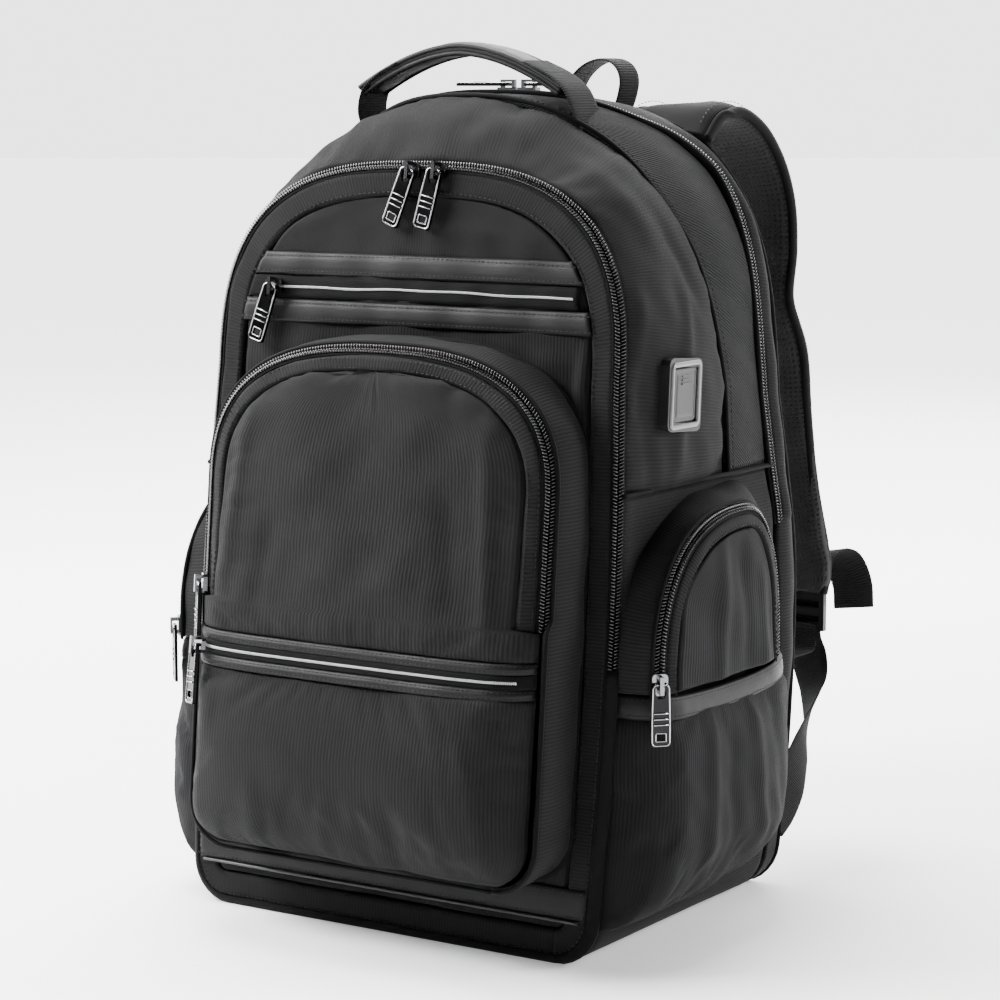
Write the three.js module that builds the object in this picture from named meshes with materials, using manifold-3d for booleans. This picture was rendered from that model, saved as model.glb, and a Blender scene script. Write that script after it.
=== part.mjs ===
// A laptop backpack that stands on its own base: a hollow sewn body with a box pocket on the front,
// a pocket on each side, a carrying handle, a hang loop and two padded shoulder straps.
// Millimetres, +Z up, the front faces -Y, the origin is the middle of the base on the floor.
import * as THREE from 'three';
import { mergeVertices } from 'three/addons/utils/BufferGeometryUtils.js';
import Module from 'manifold-3d';

const wasm = await Module();
wasm.setup();

// Overall sizes of the body
const HEIGHT = 477;
const DEPTH = 217;
const HALF_WIDTH = 140;
const FRONT_FOOT_Y = -105;
const FRONT_SLOPE = 0.092;
const FRONT_DROP = 36;
const FRONT_ARCH = 121;
const SEAM_ARCH = 177;
const REAR_ARCH = 174;
const REAR_RISE = 2;
const BACK_DROP = 7;
const BACK_ARCH = 170;
const FOOT_RADIUS = 25;
const BELLY = 5;
const SIDE_SWELL = 6;
const BAND_SWELL = 1.5;
const REAR_SWELL = 3;
const POCKET_WALL_SWELL = 3;
const POCKET_FLARE = 2;
const SIDE_WALL_SWELL = 2;

// Cloth, seams and clearances
const CLOTH = 2.4;
const GAP = 0.3;
const SEAT = 0.7;
const EDGE = 5;
const SLIVER = 0.02;
const LEATHER = 1.2;
const BACK_PAD = 9;
const BACK_BULGE = 6;
const PAD_START = 10;
const PAD_RISE = 25;

// Zips and the cross seam of the sides
const SEAM_BELOW_TOP = 216;
const SIDE_SEAM = HEIGHT - SEAM_BELOW_TOP;
const REAR_ZIP_BELOW_SEAM = 36;
const REAR_ZIP_END = SIDE_SEAM - REAR_ZIP_BELOW_SEAM;
const FRONT_ZIP_END = 166;
const REAR_ZIP_WIDTH = 7;
const ZIP_THICK = 2;
const ZIP_PROUD = 0.6;

// Two leather strips with a zip between them across the upper front
const ORGANIZER_BELOW_TOP = 89;
const ORGANIZER_TOP = HEIGHT - ORGANIZER_BELOW_TOP;
const ORGANIZER_STRIP = 13.5;
const ORGANIZER_ZIP_BAND = 14;
const ORGANIZER_SIDE = 12;
const ORGANIZER_ZIP_LEFT = -104;
const ORGANIZER_ZIP_RIGHT = 107;
const ORGANIZER_TAPE = 1;
const ORGANIZER_COIL = 1.9;

// Box pocket on the front
const POCKET_CENTRE = 5;
const POCKET_HALF = 118;
const POCKET_PROUD = 38;
const POCKET_FLOOR = 47;
const POCKET_BELOW_ORGANIZER = 48;
const POCKET_CROWN = ORGANIZER_TOP - POCKET_BELOW_ORGANIZER;
const POCKET_ARCH_RISE = 82;
const POCKET_ARCH = POCKET_CROWN - POCKET_ARCH_RISE;
const POCKET_RADIUS = 26;
const POCKET_BULGE = 24;
const POCKET_ZIP_END = 190;
const POCKET_STRIP_LOW = 155;
const POCKET_STRIP_HIGH = 173;
const COIL_WIDTH = 3;
const COIL_STAND = 1.4;

// Leather trim above the base
const TRIM_LOW = 26;
const TRIM_HIGH = 44;
const TRIM_SIDE = 1;

// Side pockets: a zipped arch above a wide slip pocket with a leather hem
const SIDE_PROUD = 29;
const SIDE_FRONT = -80;
const SIDE_REAR = 62;
const SIDE_CREST = 14;
const SIDE_BELOW_SEAM = 12;
const SIDE_CROWN = SIDE_SEAM - SIDE_BELOW_SEAM;
const SIDE_ARCH_RISE = 89;
const SIDE_ARCH = SIDE_CROWN - SIDE_ARCH_RISE;
const SIDE_BULGE = 6;
const SIDE_FOOT_REAR = 104;
const SIDE_FOOT_CREST = 44;
const SIDE_FOOT_BELOW_SEAM = 5;
const SIDE_FOOT_CROWN = SIDE_SEAM - SIDE_FOOT_BELOW_SEAM;
const HEM_BELOW_ARCH = 7;
const HEM_WIDE = 14;
const HEM_HIGH = SIDE_ARCH - HEM_BELOW_ARCH;
const HEM_LOW = HEM_HIGH - HEM_WIDE;
const SLIP_LOW = 18;
const SLIP_REAR = 106;
const SLIP_OUT = 40;

// Carrying handle
const HANDLE_BEFORE_ZIP = 17;
const HANDLE_SHIFT = -12;
const HANDLE_HALF = 70;
const HANDLE_RISE = 32;
const HANDLE_DROP = 24;
const GRIP_WIDE = 25;
const GRIP_THICK = 8;
const WEB_WIDE = 30;
const WEB_THICK = 2.4;
const LEG_SINK = 32;
const LEG_BOW = 24;
const LEG_CROWN = 1;

// Hang loop behind the handle
const LOOP_Y = 98;
const LOOP_HALF = 19;
const LOOP_RISE = 23;
const LOOP_WIDE = 24;
const LOOP_THICK = 1.8;
const LOOP_SINK = 24;
const LOOP_PINCH = 0.8;
const LOOP_X = 14;
const LOOP_LEAN = 0.3;

// Shoulder straps
const STRAP_WIDE = 66;
const STRAP_THICK = 14;
const TAPE_WIDE = 26;
const TAPE_THICK = 1.8;
const LOCK_WIDE = 34;
const LOCK_HIGH = 24;
const LOCK_THICK = 4;
const LOCK_BAR = 5;
const LOCK_SIDE = 3.5;

// Charging port on the right side
const PORT_Y = -25;
const PORT_ABOVE_SEAM = 52;
const PORT_Z = SIDE_SEAM + PORT_ABOVE_SEAM;
const PORT_WIDE = 37;
const PORT_HIGH = 41;
const PORT_OUT = 12;
const PORT_RIM = 5;
const PORT_CORNER = 4;
const PORT_SINK = 2;
const PORT_LEAN = 4;

// Zip sliders and their pulls
const SLIDER_WIDE = 9;
const SLIDER_LONG = 12;
const SLIDER_BODY = 2.6;
const BRIDGE_WIDE = 2.2;
const BRIDGE_BAR = 1.3;
const BRIDGE_HALF = 5;
const EYE_ROOM = 3.3;
const EYE_BAR = 1.8;
const PULL_WIDE = 11;
const PULL_LONG = 35;
const PULL_THICK = 1.8;
const PULL_EYE = 6.4;
const PULL_SLOT_WIDE = 5.8;
const PULL_SLOT_HIGH = 4.5;
const PULL_TIP = 3.2;
const PULL_RIDGE = 0.6;
const RIDGE_ROOT = 1;
const REAR_PULLS = 9;
const SLIDER_IN = 8;
const SLIDER_CORNER = 2;

// Heights and places that follow from the sizes above
const FRONT_CROWN = HEIGHT - FRONT_DROP;
const REAR_CROWN = HEIGHT + REAR_RISE;
const BACK_CROWN = HEIGHT - BACK_DROP;
const HANDLE_TOP = HEIGHT + HANDLE_RISE;
const LOOP_TOP = HEIGHT + LOOP_RISE;

// Materials, as seen in daylight
const cloth = (name) => finish(name, 0x2b2b2d, 0.85, 0);
const leather = (name) => finish(name, 0x303032, 0.5, 0);
const webbing = (name) => finish(name, 0x242426, 0.8, 0);
const coil = (name) => finish(name, 0x1b1b1c, 0.45, 0);
const metal = (name) => finish(name, 0x8d8d90, 0.25, 1);

function finish(name, color, roughness, metalness) {
  const material = new THREE.MeshStandardMaterial({ color, roughness, metalness });
  material.name = name;
  return material;
}

const backpack = new THREE.Group();

function addPiece(name, geometry, material) {
  geometry.computeVertexNormals();
  const mesh = new THREE.Mesh(geometry, material);
  mesh.name = name;
  backpack.add(mesh);
  return mesh;
}

// Geometry helpers

const v3 = (x, y, z) => new THREE.Vector3(x, y, z);
const clamp01 = (t) => Math.min(1, Math.max(0, t));

// Straight-line reading of a table of rows at one value of its first column
function readTable(rows, key, value, at) {
  const next = rows.findIndex((row) => row[key] >= at);
  if (next === 0) return rows[0][value];
  if (next < 0) return rows[rows.length - 1][value];
  const a = rows[next - 1];
  const b = rows[next];
  const t = (at - a[key]) / (b[key] - a[key]);
  return a[value] + (b[value] - a[value]) * t;
}

function signedVolume(points, faces) {
  let total = 0;
  for (const [a, b, c] of faces) {
    total += points[a].dot(points[b].clone().cross(points[c]));
  }
  return total / 6;
}

function facesToGeometry(points, faces) {
  const turned = signedVolume(points, faces) < 0;
  const geometry = new THREE.BufferGeometry();
  const positions = points.flatMap((p) => [p.x, p.y, p.z]);
  const index = faces.flatMap(([a, b, c]) => (turned ? [a, c, b] : [a, b, c]));
  geometry.setAttribute('position', new THREE.Float32BufferAttribute(positions, 3));
  geometry.setIndex(index);
  return geometry;
}

// Closed solid through sections of equal point count. Each section runs out along one face and
// back along the other, so its end is closed by a ladder of quads between the two.
function loft(sections, closed = false) {
  const count = sections[0].length;
  const points = sections.flat();
  const faces = [];
  const quad = (a, b, c, d) => faces.push([a, b, c], [a, c, d]);
  const last = closed ? sections.length : sections.length - 1;
  for (let s = 0; s < last; s += 1) {
    const here = s * count;
    const there = ((s + 1) % sections.length) * count;
    for (let i = 0; i < count; i += 1) {
      const next = (i + 1) % count;
      quad(here + i, here + next, there + next, there + i);
    }
  }
  if (!closed) {
    const end = (sections.length - 1) * count;
    for (let i = 0; i < count / 2 - 1; i += 1) {
      const far = count - 1 - i;
      quad(i, far, far - 1, i + 1);
      quad(end + i, end + i + 1, end + far - 1, end + far);
    }
  }
  return facesToGeometry(points, faces);
}

// A wall between lines of equal length: one face through the outer lines, one through the inner
function wallBetween(outer, inner, closed) {
  const columns = outer[0].map((_, i) => [
    ...outer.map((line) => line[i]),
    ...inner.map((line) => line[i]).reverse(),
  ]);
  return loft(columns, closed);
}

// A library shape as a plain indexed mesh with shared corners
function bareMesh(geometry) {
  const bare = new THREE.BufferGeometry();
  bare.setAttribute('position', geometry.getAttribute('position'));
  if (geometry.index) bare.setIndex(geometry.index);
  return mergeVertices(bare, 1e-4);
}

function toManifold(geometry) {
  const merged = bareMesh(geometry);
  const vertProperties = new Float32Array(merged.getAttribute('position').array);
  const triVerts = new Uint32Array(merged.index.array);
  return new wasm.Manifold(new wasm.Mesh({ numProp: 3, vertProperties, triVerts }));
}

function fromManifold(solid) {
  const mesh = solid.simplify(SLIVER).getMesh();
  const geometry = new THREE.BufferGeometry();
  const positions = [];
  for (let i = 0; i < mesh.numVert; i += 1) {
    positions.push(...mesh.vertProperties.slice(i * mesh.numProp, i * mesh.numProp + 3));
  }
  geometry.setAttribute('position', new THREE.Float32BufferAttribute(positions, 3));
  geometry.setIndex(Array.from(mesh.triVerts));
  return geometry;
}

function cut(geometry, ...tools) {
  let solid = toManifold(geometry);
  for (const tool of tools) solid = solid.subtract(toManifold(tool));
  return fromManifold(solid);
}

function joined(...parts) {
  const solids = parts.map(toManifold);
  return fromManifold(solids.reduce((a, b) => a.add(b)));
}

function box(sizeX, sizeY, sizeZ, x, y, z) {
  return new THREE.BoxGeometry(sizeX, sizeY, sizeZ).translate(x, y, z);
}

// The same piece on the other side of the bag
function mirrored(geometry) {
  const copy = geometry.clone();
  copy.scale(-1, 1, 1);
  copy.setIndex(Array.from(copy.index.array).reverse());
  return copy;
}

// Outlines. Each is a foot with rounded corners, two legs and an arch over the top.

const CORNER_ANGLES = [0, 30, 60, 90];
const ARCH_ANGLES = [0, 17, 33, 48, 61, 72, 80, 86];

// Shares of HEIGHT up the bag, and of DEPTH back from the front foot
const SEAM_LINE = [
  { up: 0, back: 0.677 },
  { up: 0.629, back: 0.677 },
  { up: 0.706, back: 0.645 },
  { up: 0.767, back: 0.618 },
  { up: 0.813, back: 0.594 },
  { up: 0.853, back: 0.558 },
  { up: 0.891, back: 0.521 },
  { up: 0.933, back: 0.488 },
  { up: 0.969, back: 0.447 },
  { up: 1, back: 0.401 },
];
const REAR_ZIP_LINE = [
  { up: 0, back: 0.935 },
  { up: 0.314, back: 0.963 },
  { up: 0.474, back: 0.954 },
  { up: 0.537, back: 0.926 },
  { up: 0.646, back: 0.885 },
  { up: 0.73, back: 0.862 },
  { up: 0.818, back: 0.853 },
  { up: 0.901, back: 0.838 },
  { up: 0.95, back: 0.76 },
  { up: 0.979, back: 0.65 },
  { up: 1.004, back: 0.585 },
];
const BACK_LINE = [
  { up: 0, back: 1 },
  { up: 0.21, back: 1.041 },
  { up: 0.417, back: 1.06 },
  { up: 0.532, back: 1.028 },
  { up: 0.642, back: 0.986 },
  { up: 0.807, back: 0.949 },
  { up: 0.901, back: 0.926 },
  { up: 0.985, back: 0.917 },
];

const depthAt = (rows) => (z) => FRONT_FOOT_Y + DEPTH * readTable(rows, 'up', 'back', z / HEIGHT);
const HANDLE_Y = depthAt(REAR_ZIP_LINE)(REAR_CROWN) - HANDLE_BEFORE_ZIP;
const frontPlane = (z) => FRONT_FOOT_Y + FRONT_SLOPE * z;
const pocketPlane = (z) => frontPlane(z) - POCKET_PROUD;

const halfway = (a, b) => (a + b) / 2;

const BODY_HEIGHTS = [
  halfway(FOOT_RADIUS, FRONT_ZIP_END),
  FRONT_ZIP_END - GAP / 2,
  FRONT_ZIP_END + GAP / 2,
  REAR_ZIP_END - GAP / 2,
  REAR_ZIP_END + GAP / 2,
  SIDE_SEAM - GAP / 2,
  SIDE_SEAM + GAP / 2,
];

function bodyOutline(half, archHigh, crown, power, depth) {
  return {
    left: -half,
    right: half,
    crest: 0,
    floor: 0,
    arch: crown - archHigh,
    crown,
    power,
    radius: FOOT_RADIUS,
    heights: BODY_HEIGHTS,
    belly: BELLY,
    depth,
  };
}

const frontOutline = {
  ...bodyOutline(HALF_WIDTH, FRONT_ARCH, FRONT_CROWN, 2.8, frontPlane),
  flat: true,
};
const seamOutline = bodyOutline(HALF_WIDTH, SEAM_ARCH, HEIGHT, 2.4, depthAt(SEAM_LINE));
const rearZipOutline = bodyOutline(HALF_WIDTH + 1, REAR_ARCH, REAR_CROWN, 2.8, depthAt(REAR_ZIP_LINE));
const backOutline = bodyOutline(HALF_WIDTH - 1, BACK_ARCH, BACK_CROWN, 3, depthAt(BACK_LINE));

const pocketCornerTop = POCKET_FLOOR + POCKET_RADIUS;
const coilHeight = halfway(POCKET_STRIP_LOW, POCKET_STRIP_HIGH);

const pocketOutline = {
  left: POCKET_CENTRE - POCKET_HALF,
  right: POCKET_CENTRE + POCKET_HALF,
  crest: POCKET_CENTRE,
  floor: POCKET_FLOOR,
  arch: POCKET_ARCH,
  crown: POCKET_CROWN,
  power: 2.6,
  radius: POCKET_RADIUS,
  heights: [
    ...[0.2, 0.47, 0.74].map((t) => pocketCornerTop + t * (POCKET_STRIP_LOW - pocketCornerTop)),
    POCKET_STRIP_LOW,
    coilHeight - COIL_WIDTH / 2,
    coilHeight + COIL_WIDTH / 2,
    POCKET_STRIP_HIGH,
    POCKET_ZIP_END - GAP / 2,
    POCKET_ZIP_END + GAP / 2,
    halfway(POCKET_ZIP_END, POCKET_ARCH),
  ],
  belly: 0,
  depth: pocketPlane,
  flat: true,
};

// The x of one leg of an outline at a height, moved in by an inset
function legX(outline, side, z, inset) {
  const sign = side === 'right' ? 1 : -1;
  const leg = outline[side] - sign * inset;
  const floor = outline.floor + inset;
  const radius = Math.max(1, outline.radius - inset);
  const crown = outline.crown - inset;
  const belly = outline.belly * Math.sin(Math.PI * clamp01(z / outline.arch));
  if (z < floor + radius) {
    const rise = radius - (z - floor);
    return leg + sign * (belly - radius + Math.sqrt(Math.max(0, radius * radius - rise * rise)));
  }
  if (z <= outline.arch) return leg + sign * belly;
  const up = clamp01((z - outline.arch) / (crown - outline.arch));
  return outline.crest + (leg - outline.crest) * (1 - up ** outline.power) ** (1 / outline.power);
}

// The heights at which every line round an outline has its points
function levels(outline, inset) {
  const radius = Math.max(1, outline.radius - inset);
  const floor = outline.floor + inset;
  const foot = CORNER_ANGLES.map((a) => floor + radius * (1 - Math.cos(THREE.MathUtils.degToRad(a))));
  const rise = outline.crown - inset - outline.arch;
  const arch = ARCH_ANGLES.map((a) => {
    const up = Math.sin(THREE.MathUtils.degToRad(a)) ** (2 / outline.power);
    return outline.arch + rise * up;
  });
  return [...foot, ...outline.heights, ...arch];
}

// One line round an outline: up the right leg, over the top and down the left leg.
// inset and shift may change with the height; shift moves the line back.
function lineRound(outline, { inset = 0, shift = 0 } = {}) {
  const insetAt = typeof inset === 'function' ? inset : () => inset;
  const shiftAt = typeof shift === 'function' ? shift : () => shift;
  const steps = levels(outline, 0);
  const right = [];
  const left = [];
  steps.forEach((step, row) => {
    const inwards = insetAt(step);
    const z = levels(outline, inwards)[row];
    const y = outline.depth(outline.flat ? z : step) + shiftAt(step);
    right.push(v3(legX(outline, 'right', z, inwards), y, z));
    left.push(v3(legX(outline, 'left', z, inwards), y, z));
  });
  return [...right, ...left.reverse()];
}

// The part of a line above or below a height
function above(line, height) {
  return line.filter((point) => point.z > height);
}

function below(line, height) {
  const half = line.length / 2;
  const under = line.filter((point) => point.z < height).length / 2;
  return [...line.slice(2 * half - under), ...line.slice(0, under)];
}

// A line steeper than this counts as a leg, which swells only sideways
const LEG_SLANT = 0.2;

// The outward direction of a line round an outline at one of its points
function outwards(line, i) {
  const count = line.length;
  const before = line[(i + count - 1) % count];
  const after = line[(i + 1) % count];
  const out = v3(after.z - before.z, 0, before.x - after.x).normalize();
  const middle = v3(0, 0, HEIGHT / 2);
  return out.dot(line[i].clone().sub(middle)) < 0 ? out.negate() : out;
}

// Lines between two whole lines, swelling outwards in the middle but flat on the floor
function linesBetween(lineA, lineB, count, swell) {
  return Array.from({ length: count }, (_, row) => {
    const t = row / (count - 1);
    const straight = lineA.map((a, i) => a.clone().lerp(lineB[i], t));
    return straight.map((point, i) => {
      const sideways = clamp01((point.z - FOOT_RADIUS) / FOOT_RADIUS);
      const reach = swell * Math.sin(Math.PI * t) * sideways;
      const out = outwards(straight, i);
      if (out.z < LEG_SLANT) out.set(Math.sign(out.x), 0, 0);
      return point.clone().addScaledVector(out, reach);
    });
  });
}

const WALL_ROWS = 3;

// A cloth wall from one outline to the next, with its own thickness inwards
function bodyWall(from, to, { fromShift, toShift, swell, part = (line) => line, rows = WALL_ROWS }) {
  const layer = (inset) => {
    const start = lineRound(from, { inset, shift: fromShift });
    const end = lineRound(to, { inset, shift: toShift });
    return linesBetween(start, end, rows, swell).map(part);
  };
  return [layer(0), layer(CLOTH)];
}

// Body of the bag

const overSeam = (line) => above(line, SIDE_SEAM);
const underSeam = (line) => below(line, SIDE_SEAM);
const zipHalf = REAR_ZIP_WIDTH / 2;

function bodyPiece(name, from, to, options, closed) {
  const [outer, inner] = bodyWall(from, to, options);
  addPiece(name, wallBetween(outer, inner, closed), options.material ?? cloth('nylon'));
}

bodyPiece('upper_gusset', frontOutline, seamOutline, {
  fromShift: EDGE, toShift: -GAP / 2, swell: SIDE_SWELL, part: overSeam,
}, false);
bodyPiece('twill_band', seamOutline, rearZipOutline, {
  fromShift: GAP / 2, toShift: -zipHalf, swell: BAND_SWELL, part: overSeam, material: cloth('twill'),
}, false);

// Below the cross seam one wall runs all the way from the front edge to the rear zip
function lowerGusset() {
  const layer = (inset) => {
    const start = lineRound(frontOutline, { inset, shift: EDGE });
    const middle = lineRound(seamOutline, { inset });
    const end = lineRound(rearZipOutline, { inset, shift: -zipHalf });
    const fore = linesBetween(start, middle, WALL_ROWS, SIDE_SWELL);
    const aft = linesBetween(middle, end, WALL_ROWS, BAND_SWELL).slice(1);
    return [...fore, ...aft].map(underSeam);
  };
  return wallBetween(layer(0), layer(CLOTH), false);
}
addPiece('lower_gusset', lowerGusset(), cloth('nylon'));

const rearStart = (z) => (z > REAR_ZIP_END ? zipHalf : GAP - zipHalf);
bodyPiece('rear_gusset', rearZipOutline, backOutline, {
  fromShift: rearStart, toShift: 0, swell: REAR_SWELL,
}, true);

// A bevelled band along the front edge of an outline, with the zip or the binding on it
function bevelBand(outline, part) {
  const at = (inset, shift) => part(lineRound(outline, { inset, shift }));
  const lip = EDGE - GAP;
  const slant = ZIP_THICK * Math.SQRT2;
  const outer = [at(lip, GAP), at(GAP / 2, lip)];
  const inner = [at(lip, GAP + slant), at(GAP / 2 + slant, lip)];
  return wallBetween(outer, inner, false);
}

addPiece('front_zipper', bevelBand(frontOutline, (line) => above(line, FRONT_ZIP_END)), coil('coil'));
addPiece('corner_binding', bevelBand(frontOutline, (line) => below(line, FRONT_ZIP_END)), webbing('binding'));

function rearZipper() {
  const part = (line) => above(line, REAR_ZIP_END);
  const at = (inset, shift) => part(lineRound(rearZipOutline, { inset, shift }));
  const half = zipHalf - GAP;
  const outer = [at(-ZIP_PROUD, -half), at(-ZIP_PROUD, half)];
  const depth = ZIP_THICK - ZIP_PROUD;
  const inner = [at(depth, -half), at(depth, half)];
  return wallBetween(outer, inner, false);
}
addPiece('rear_zipper', rearZipper(), coil('coil'));

// A panel across an outline: rows by height, columns as shares of the width, a face and a back
function panelAcross(line, heights, columns, face, thickness) {
  const half = line.length / 2;
  const rightLeg = line.slice(0, half).map((p) => ({ z: p.z, x: p.x }));
  const leftLeg = line.slice(half).reverse().map((p) => ({ z: p.z, x: p.x }));
  const rows = heights.map((z) => {
    const right = readTable(rightLeg, 'z', 'x', z);
    const left = readTable(leftLeg, 'z', 'x', z);
    const spots = columns.map((share) => v3(left + (right - left) * (share + 1) / 2, 0, z));
    const front = spots.map((p, i) => v3(p.x, face(p.x, z, columns[i]), z));
    const back = spots.map((p, i) => v3(p.x, face(p.x, z, columns[i]) + thickness, z)).reverse();
    return [...front, ...back];
  });
  return loft(rows);
}

const FLAT_COLUMNS = [-1, -0.5, 0, 0.5, 1];

function frontPanel() {
  const line = lineRound(frontOutline, { inset: EDGE });
  const heights = line.slice(0, line.length / 2).map((p) => p.z);
  return panelAcross(line, heights, FLAT_COLUMNS, (x, z) => frontPlane(z), CLOTH);
}
addPiece('front_panel', frontPanel(), cloth('nylon'));

// The padded back: two rounded columns of padding with a hollow down the middle
const BACK_COLUMNS = [
  { across: -1, out: 0 },
  { across: -0.82, out: 0.75 },
  { across: -0.5, out: 1 },
  { across: -0.2, out: 0.8 },
  { across: 0, out: 0.15 },
  { across: 0.2, out: 0.8 },
  { across: 0.5, out: 1 },
  { across: 0.82, out: 0.75 },
  { across: 1, out: 0 },
];

function backPanel() {
  const line = lineRound(backOutline, { inset: CLOTH + GAP });
  const heights = line.slice(0, line.length / 2).map((p) => p.z);
  const depth = depthAt(BACK_LINE);
  const face = (x, z, across) => {
    const nearest = Math.min(z - PAD_START, BACK_CROWN - PAD_START - z);
    const ends = clamp01(nearest / PAD_RISE);
    return depth(z) + BACK_BULGE * readTable(BACK_COLUMNS, 'across', 'out', across) * ends;
  };
  return panelAcross(line, heights, BACK_COLUMNS.map((row) => row.across), face, -BACK_PAD);
}
addPiece('back_panel', backPanel(), cloth('mesh'));

// Flat strips on the front panel
function frontStrip(low, high, side, material, name) {
  const line = lineRound(frontOutline, { inset: EDGE + side });
  const face = (x, z) => frontPlane(z) - GAP - LEATHER;
  addPiece(name, panelAcross(line, [low, high], FLAT_COLUMNS, face, LEATHER), material);
}

const zipBandHigh = ORGANIZER_TOP - ORGANIZER_STRIP;
const zipBandLow = zipBandHigh - ORGANIZER_ZIP_BAND;
frontStrip(zipBandHigh, ORGANIZER_TOP, ORGANIZER_SIDE, leather('leather'), 'organizer_strip_upper');
const stripLow = zipBandLow - ORGANIZER_STRIP;
frontStrip(stripLow, zipBandLow, ORGANIZER_SIDE, leather('leather'), 'organizer_strip_lower');
frontStrip(TRIM_LOW, TRIM_HIGH, TRIM_SIDE, leather('leather'), 'base_trim');

// A plain band with the coil standing along its middle
function organizerZipper() {
  const low = zipBandLow + GAP;
  const high = zipBandHigh - GAP;
  const middle = (low + high) / 2;
  const level = (z, out) => v3(0, frontPlane(z) - GAP - out, z);
  const profile = [
    level(low, ORGANIZER_TAPE),
    level(middle - COIL_WIDTH / 2, ORGANIZER_TAPE),
    level(middle, ORGANIZER_COIL),
    level(middle + COIL_WIDTH / 2, ORGANIZER_TAPE),
    level(high, ORGANIZER_TAPE),
    level(high, 0),
    level(middle + COIL_WIDTH / 2, 0),
    level(middle, 0),
    level(middle - COIL_WIDTH / 2, 0),
    level(low, 0),
  ];
  const ends = [ORGANIZER_ZIP_LEFT, ORGANIZER_ZIP_RIGHT];
  return loft(ends.map((x) => profile.map((p) => v3(x, p.y, p.z))));
}
addPiece('organizer_zipper', organizerZipper(), coil('silver coil'));

// Front pocket

// Swell of the pocket face: shares of the pocket's height, and of its bulge
const POCKET_SWELL = [
  { up: 0, out: 0 },
  { up: 0.015, out: 0.32 },
  { up: 0.06, out: 0.72 },
  { up: 0.14, out: 0.95 },
  { up: 0.22, out: 1 },
  { up: 0.33, out: 0.88 },
  { up: 0.43, out: 0.68 },
  { up: 0.6, out: 0.42 },
  { up: 0.85, out: 0.2 },
  { up: 1, out: 0 },
];
const POCKET_COLUMNS = [
  { across: -1, out: 0 },
  { across: -0.92, out: 0.5 },
  { across: -0.78, out: 0.82 },
  { across: -0.5, out: 0.97 },
  { across: 0, out: 1 },
  { across: 0.5, out: 0.97 },
  { across: 0.78, out: 0.82 },
  { across: 0.92, out: 0.5 },
  { across: 1, out: 0 },
];

const pocketHeight = POCKET_CROWN - POCKET_FLOOR;
const faceInset = (z) => (z > POCKET_ZIP_END ? EDGE : CLOTH + GAP);

function pocketSwell(z, across) {
  const up = readTable(POCKET_SWELL, 'up', 'out', (z - POCKET_FLOOR - CLOTH) / pocketHeight);
  return POCKET_BULGE * up * readTable(POCKET_COLUMNS, 'across', 'out', across);
}

const pocketFaceLine = lineRound(pocketOutline, { inset: faceInset });
const pocketLevels = pocketFaceLine.slice(0, pocketFaceLine.length / 2).map((p) => p.z);
const pocketShares = POCKET_COLUMNS.map((row) => row.across);

function pocketLayer(heights, columns, stand, thickness) {
  const face = (x, z, across) => pocketPlane(z) - pocketSwell(z, across) - stand;
  return panelAcross(pocketFaceLine, heights, columns, face, thickness);
}

addPiece('pocket_face', pocketLayer(pocketLevels, pocketShares, 0, CLOTH), cloth('nylon'));

// The leather band and the coil along it follow the face on the same rows and columns
const innerShares = pocketShares.slice(1, -1);
const stripLevels = pocketOutline.heights.slice(3, 7);
const stripStand = GAP + LEATHER;
addPiece('pocket_strip', pocketLayer(stripLevels, innerShares, stripStand, LEATHER), leather('leather'));
const coilStand = stripStand + GAP + COIL_STAND;
const pocketCoil = pocketLayer(stripLevels.slice(1, 3), innerShares, coilStand, COIL_STAND);
addPiece('pocket_lower_zipper', pocketCoil, coil('silver coil'));

function pocketGusset() {
  const foot = { ...pocketOutline, depth: frontPlane };
  const rim = (z) => (z > POCKET_ZIP_END ? EDGE : 0);
  const layer = (inset) => {
    const start = lineRound(foot, { inset: inset - POCKET_FLARE, shift: -GAP });
    const end = lineRound(pocketOutline, { inset, shift: rim });
    return linesBetween(start, end, WALL_ROWS, POCKET_WALL_SWELL);
  };
  return wallBetween(layer(0), layer(CLOTH), true);
}
addPiece('pocket_gusset', pocketGusset(), cloth('nylon'));
addPiece('pocket_zipper', bevelBand(pocketOutline, (line) => above(line, POCKET_ZIP_END)), coil('coil'));

// The space that the body and its walls take up, grown by a margin: what sits on the bag is
// trimmed to it
function bodySpace(margin) {
  const row = (outline, shift) => lineRound(outline, { inset: -margin, shift });
  const seam = row(seamOutline, 0);
  const zip = row(rearZipOutline, 0);
  const lines = [
    ...linesBetween(row(frontOutline, EDGE - margin), seam, WALL_ROWS, SIDE_SWELL),
    ...linesBetween(seam, zip, WALL_ROWS, BAND_SWELL).slice(1),
    ...linesBetween(zip, row(backOutline, margin), WALL_ROWS, REAR_SWELL).slice(1),
  ];
  return loft(lines);
}
const clearOfBody = bodySpace(SEAT);

// Side pockets, made facing the front and then turned to the side. There x runs back along the
// bag and -y runs out from it.

const sideOut = (out) => () => -(HALF_WIDTH + out);
const turnedRight = (geometry) => geometry.rotateZ(Math.PI / 2);

const sideZipOutline = {
  left: SIDE_FRONT,
  right: SIDE_REAR,
  crest: SIDE_CREST,
  floor: 0,
  arch: SIDE_ARCH,
  crown: SIDE_CROWN,
  power: 2.4,
  radius: 1,
  heights: [HEM_HIGH + GAP],
  belly: 0,
  depth: sideOut(SIDE_PROUD),
};
const sideFootOutline = {
  ...sideZipOutline,
  left: frontPlane(SIDE_ARCH) + EDGE + LEATHER + 3 * GAP,
  right: SIDE_FOOT_REAR,
  crest: SIDE_FOOT_CREST,
  crown: SIDE_FOOT_CROWN,
  depth: sideOut(-CLOTH),
};
const overHem = (line) => above(line, HEM_HIGH);

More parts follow.
